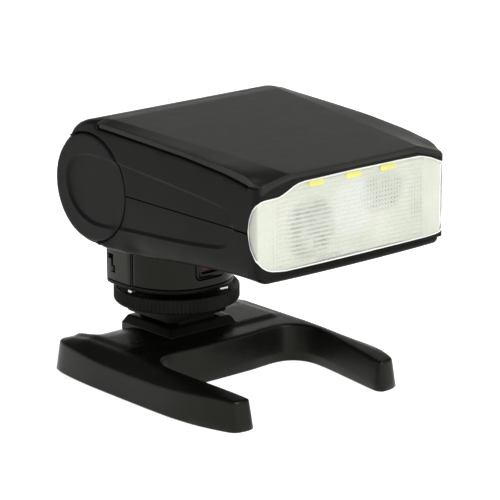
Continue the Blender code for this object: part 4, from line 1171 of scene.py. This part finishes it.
def dress_nodes():
    """Materials for the CAD nodes that stay as they are."""
    wear = {"tripod_insert": BRASS, "tilt_ring": KNURL, "switch_board": KNURL, "capacitor": GLOSS,
            "sensor_emitter": WHITE, "trigger_coil": WHITE, "neck_board": GREEN, "head_board": GREEN}
    steel = "lock_pin door_contact contact_plate contact_spring head_screw_left head_screw_right"
    wear.update({name: STEEL for name in steel.split()})
    wear.update({"contact_pin_%d" % i: GOLD for i in range(1, 6)})
    wear.update({"rubber_foot_%d" % i: RUBBER for i in range(1, 5)})
    for name, mat in wear.items():
        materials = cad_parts[name].data.materials
        materials.clear()
        materials.append(mat)


# ---- studio

def make_studio():
    """White floor, surroundings that are bright below and dim above, and two large soft lights."""
    verts = [(x, y, 0) for x in (-3000, 3000) for y in (-3000, 3000)]
    floor = build("floor", verts, [(0, 1, 3, 2)])
    mat, tree, shader, coord = new_material("floor_paper")
    paper = mottle(tree, noise(tree, coord, 30), (0.55, 0.55, 0.55), (0.57, 0.57, 0.57))
    tree.links.new(paper, shader.inputs["Base Color"])
    shader.inputs["Roughness"].default_value = 0.9
    shader.inputs["Emission Color"].default_value = (1, 1, 1, 1)
    shader.inputs["Emission Strength"].default_value = 0.95
    floor.data.materials.append(mat)
    world = bpy.data.worlds.new("studio")
    world.use_nodes = True
    tree = world.node_tree
    sky = tree.nodes["Background"]
    sky.inputs["Color"].default_value = (1, 1, 0.99, 1)
    split = tree.nodes.new("ShaderNodeSeparateXYZ")
    tree.links.new(tree.nodes.new("ShaderNodeTexCoord").outputs["Generated"], split.inputs[0])
    ends = {"From Min": -0.02, "From Max": 0.54, "To Min": 1.05, "To Max": 0.11}
    fall = add_node(tree, "ShaderNodeMapRange", interpolation_type="SMOOTHSTEP", **ends)
    tree.links.new(split.outputs["Z"], fall.inputs["Value"])
    tree.links.new(fall.outputs["Result"], sky.inputs["Strength"])
    bpy.context.scene.world = world
    # Name, place in metres, size in metres and power in watts.
    lights = (("key", (-0.15, -0.95, 0.62), 0.7, 11), ("top", (0.3, -0.2, 1), 0.8, 4))
    for name, where, size, power in lights:
        data = bpy.data.lights.new(name, "AREA")
        data.shape = "SQUARE"
        data.size = size
        data.energy = power
        lamp = bpy.data.objects.new(name, data)
        lamp.location = where
        aim = Vector((0, 0, 0.045)) - Vector(where)
        lamp.rotation_euler = aim.to_track_quat("-Z", "Y").to_euler()
        bpy.context.scene.collection.objects.link(lamp)


def make_camera():
    """Camera a little above the left front corner."""
    data = bpy.data.cameras.new("camera")
    data.sensor_width = 36.0
    data.lens = 202.6
    data.clip_start = 0.01
    cam = bpy.data.objects.new("camera", data)
    right = Vector((0.76088, -0.64888, -0.00470))
    up = Vector((0.18049, 0.20468, 0.96204))
    back = -Vector((0.62329, 0.73285, -0.27285))
    matrix = Matrix((right, up, back)).transposed().to_4x4()
    matrix.translation = Vector((-461.017, -572.972 + FOOT_Y, 239.536)) * MM
    cam.matrix_world = matrix
    bpy.context.scene.collection.objects.link(cam)
    bpy.context.scene.camera = cam
    bpy.context.scene.view_settings.view_transform = "Standard"


for make in (make_stand, make_shoe, make_foot, make_ring, make_neck, make_drum, make_controls, make_cells,
             make_lower_shell, make_upper_shell, make_cover, make_lens, make_lens_frame, make_reflector,
             dress_nodes, make_studio, make_camera):
    make()
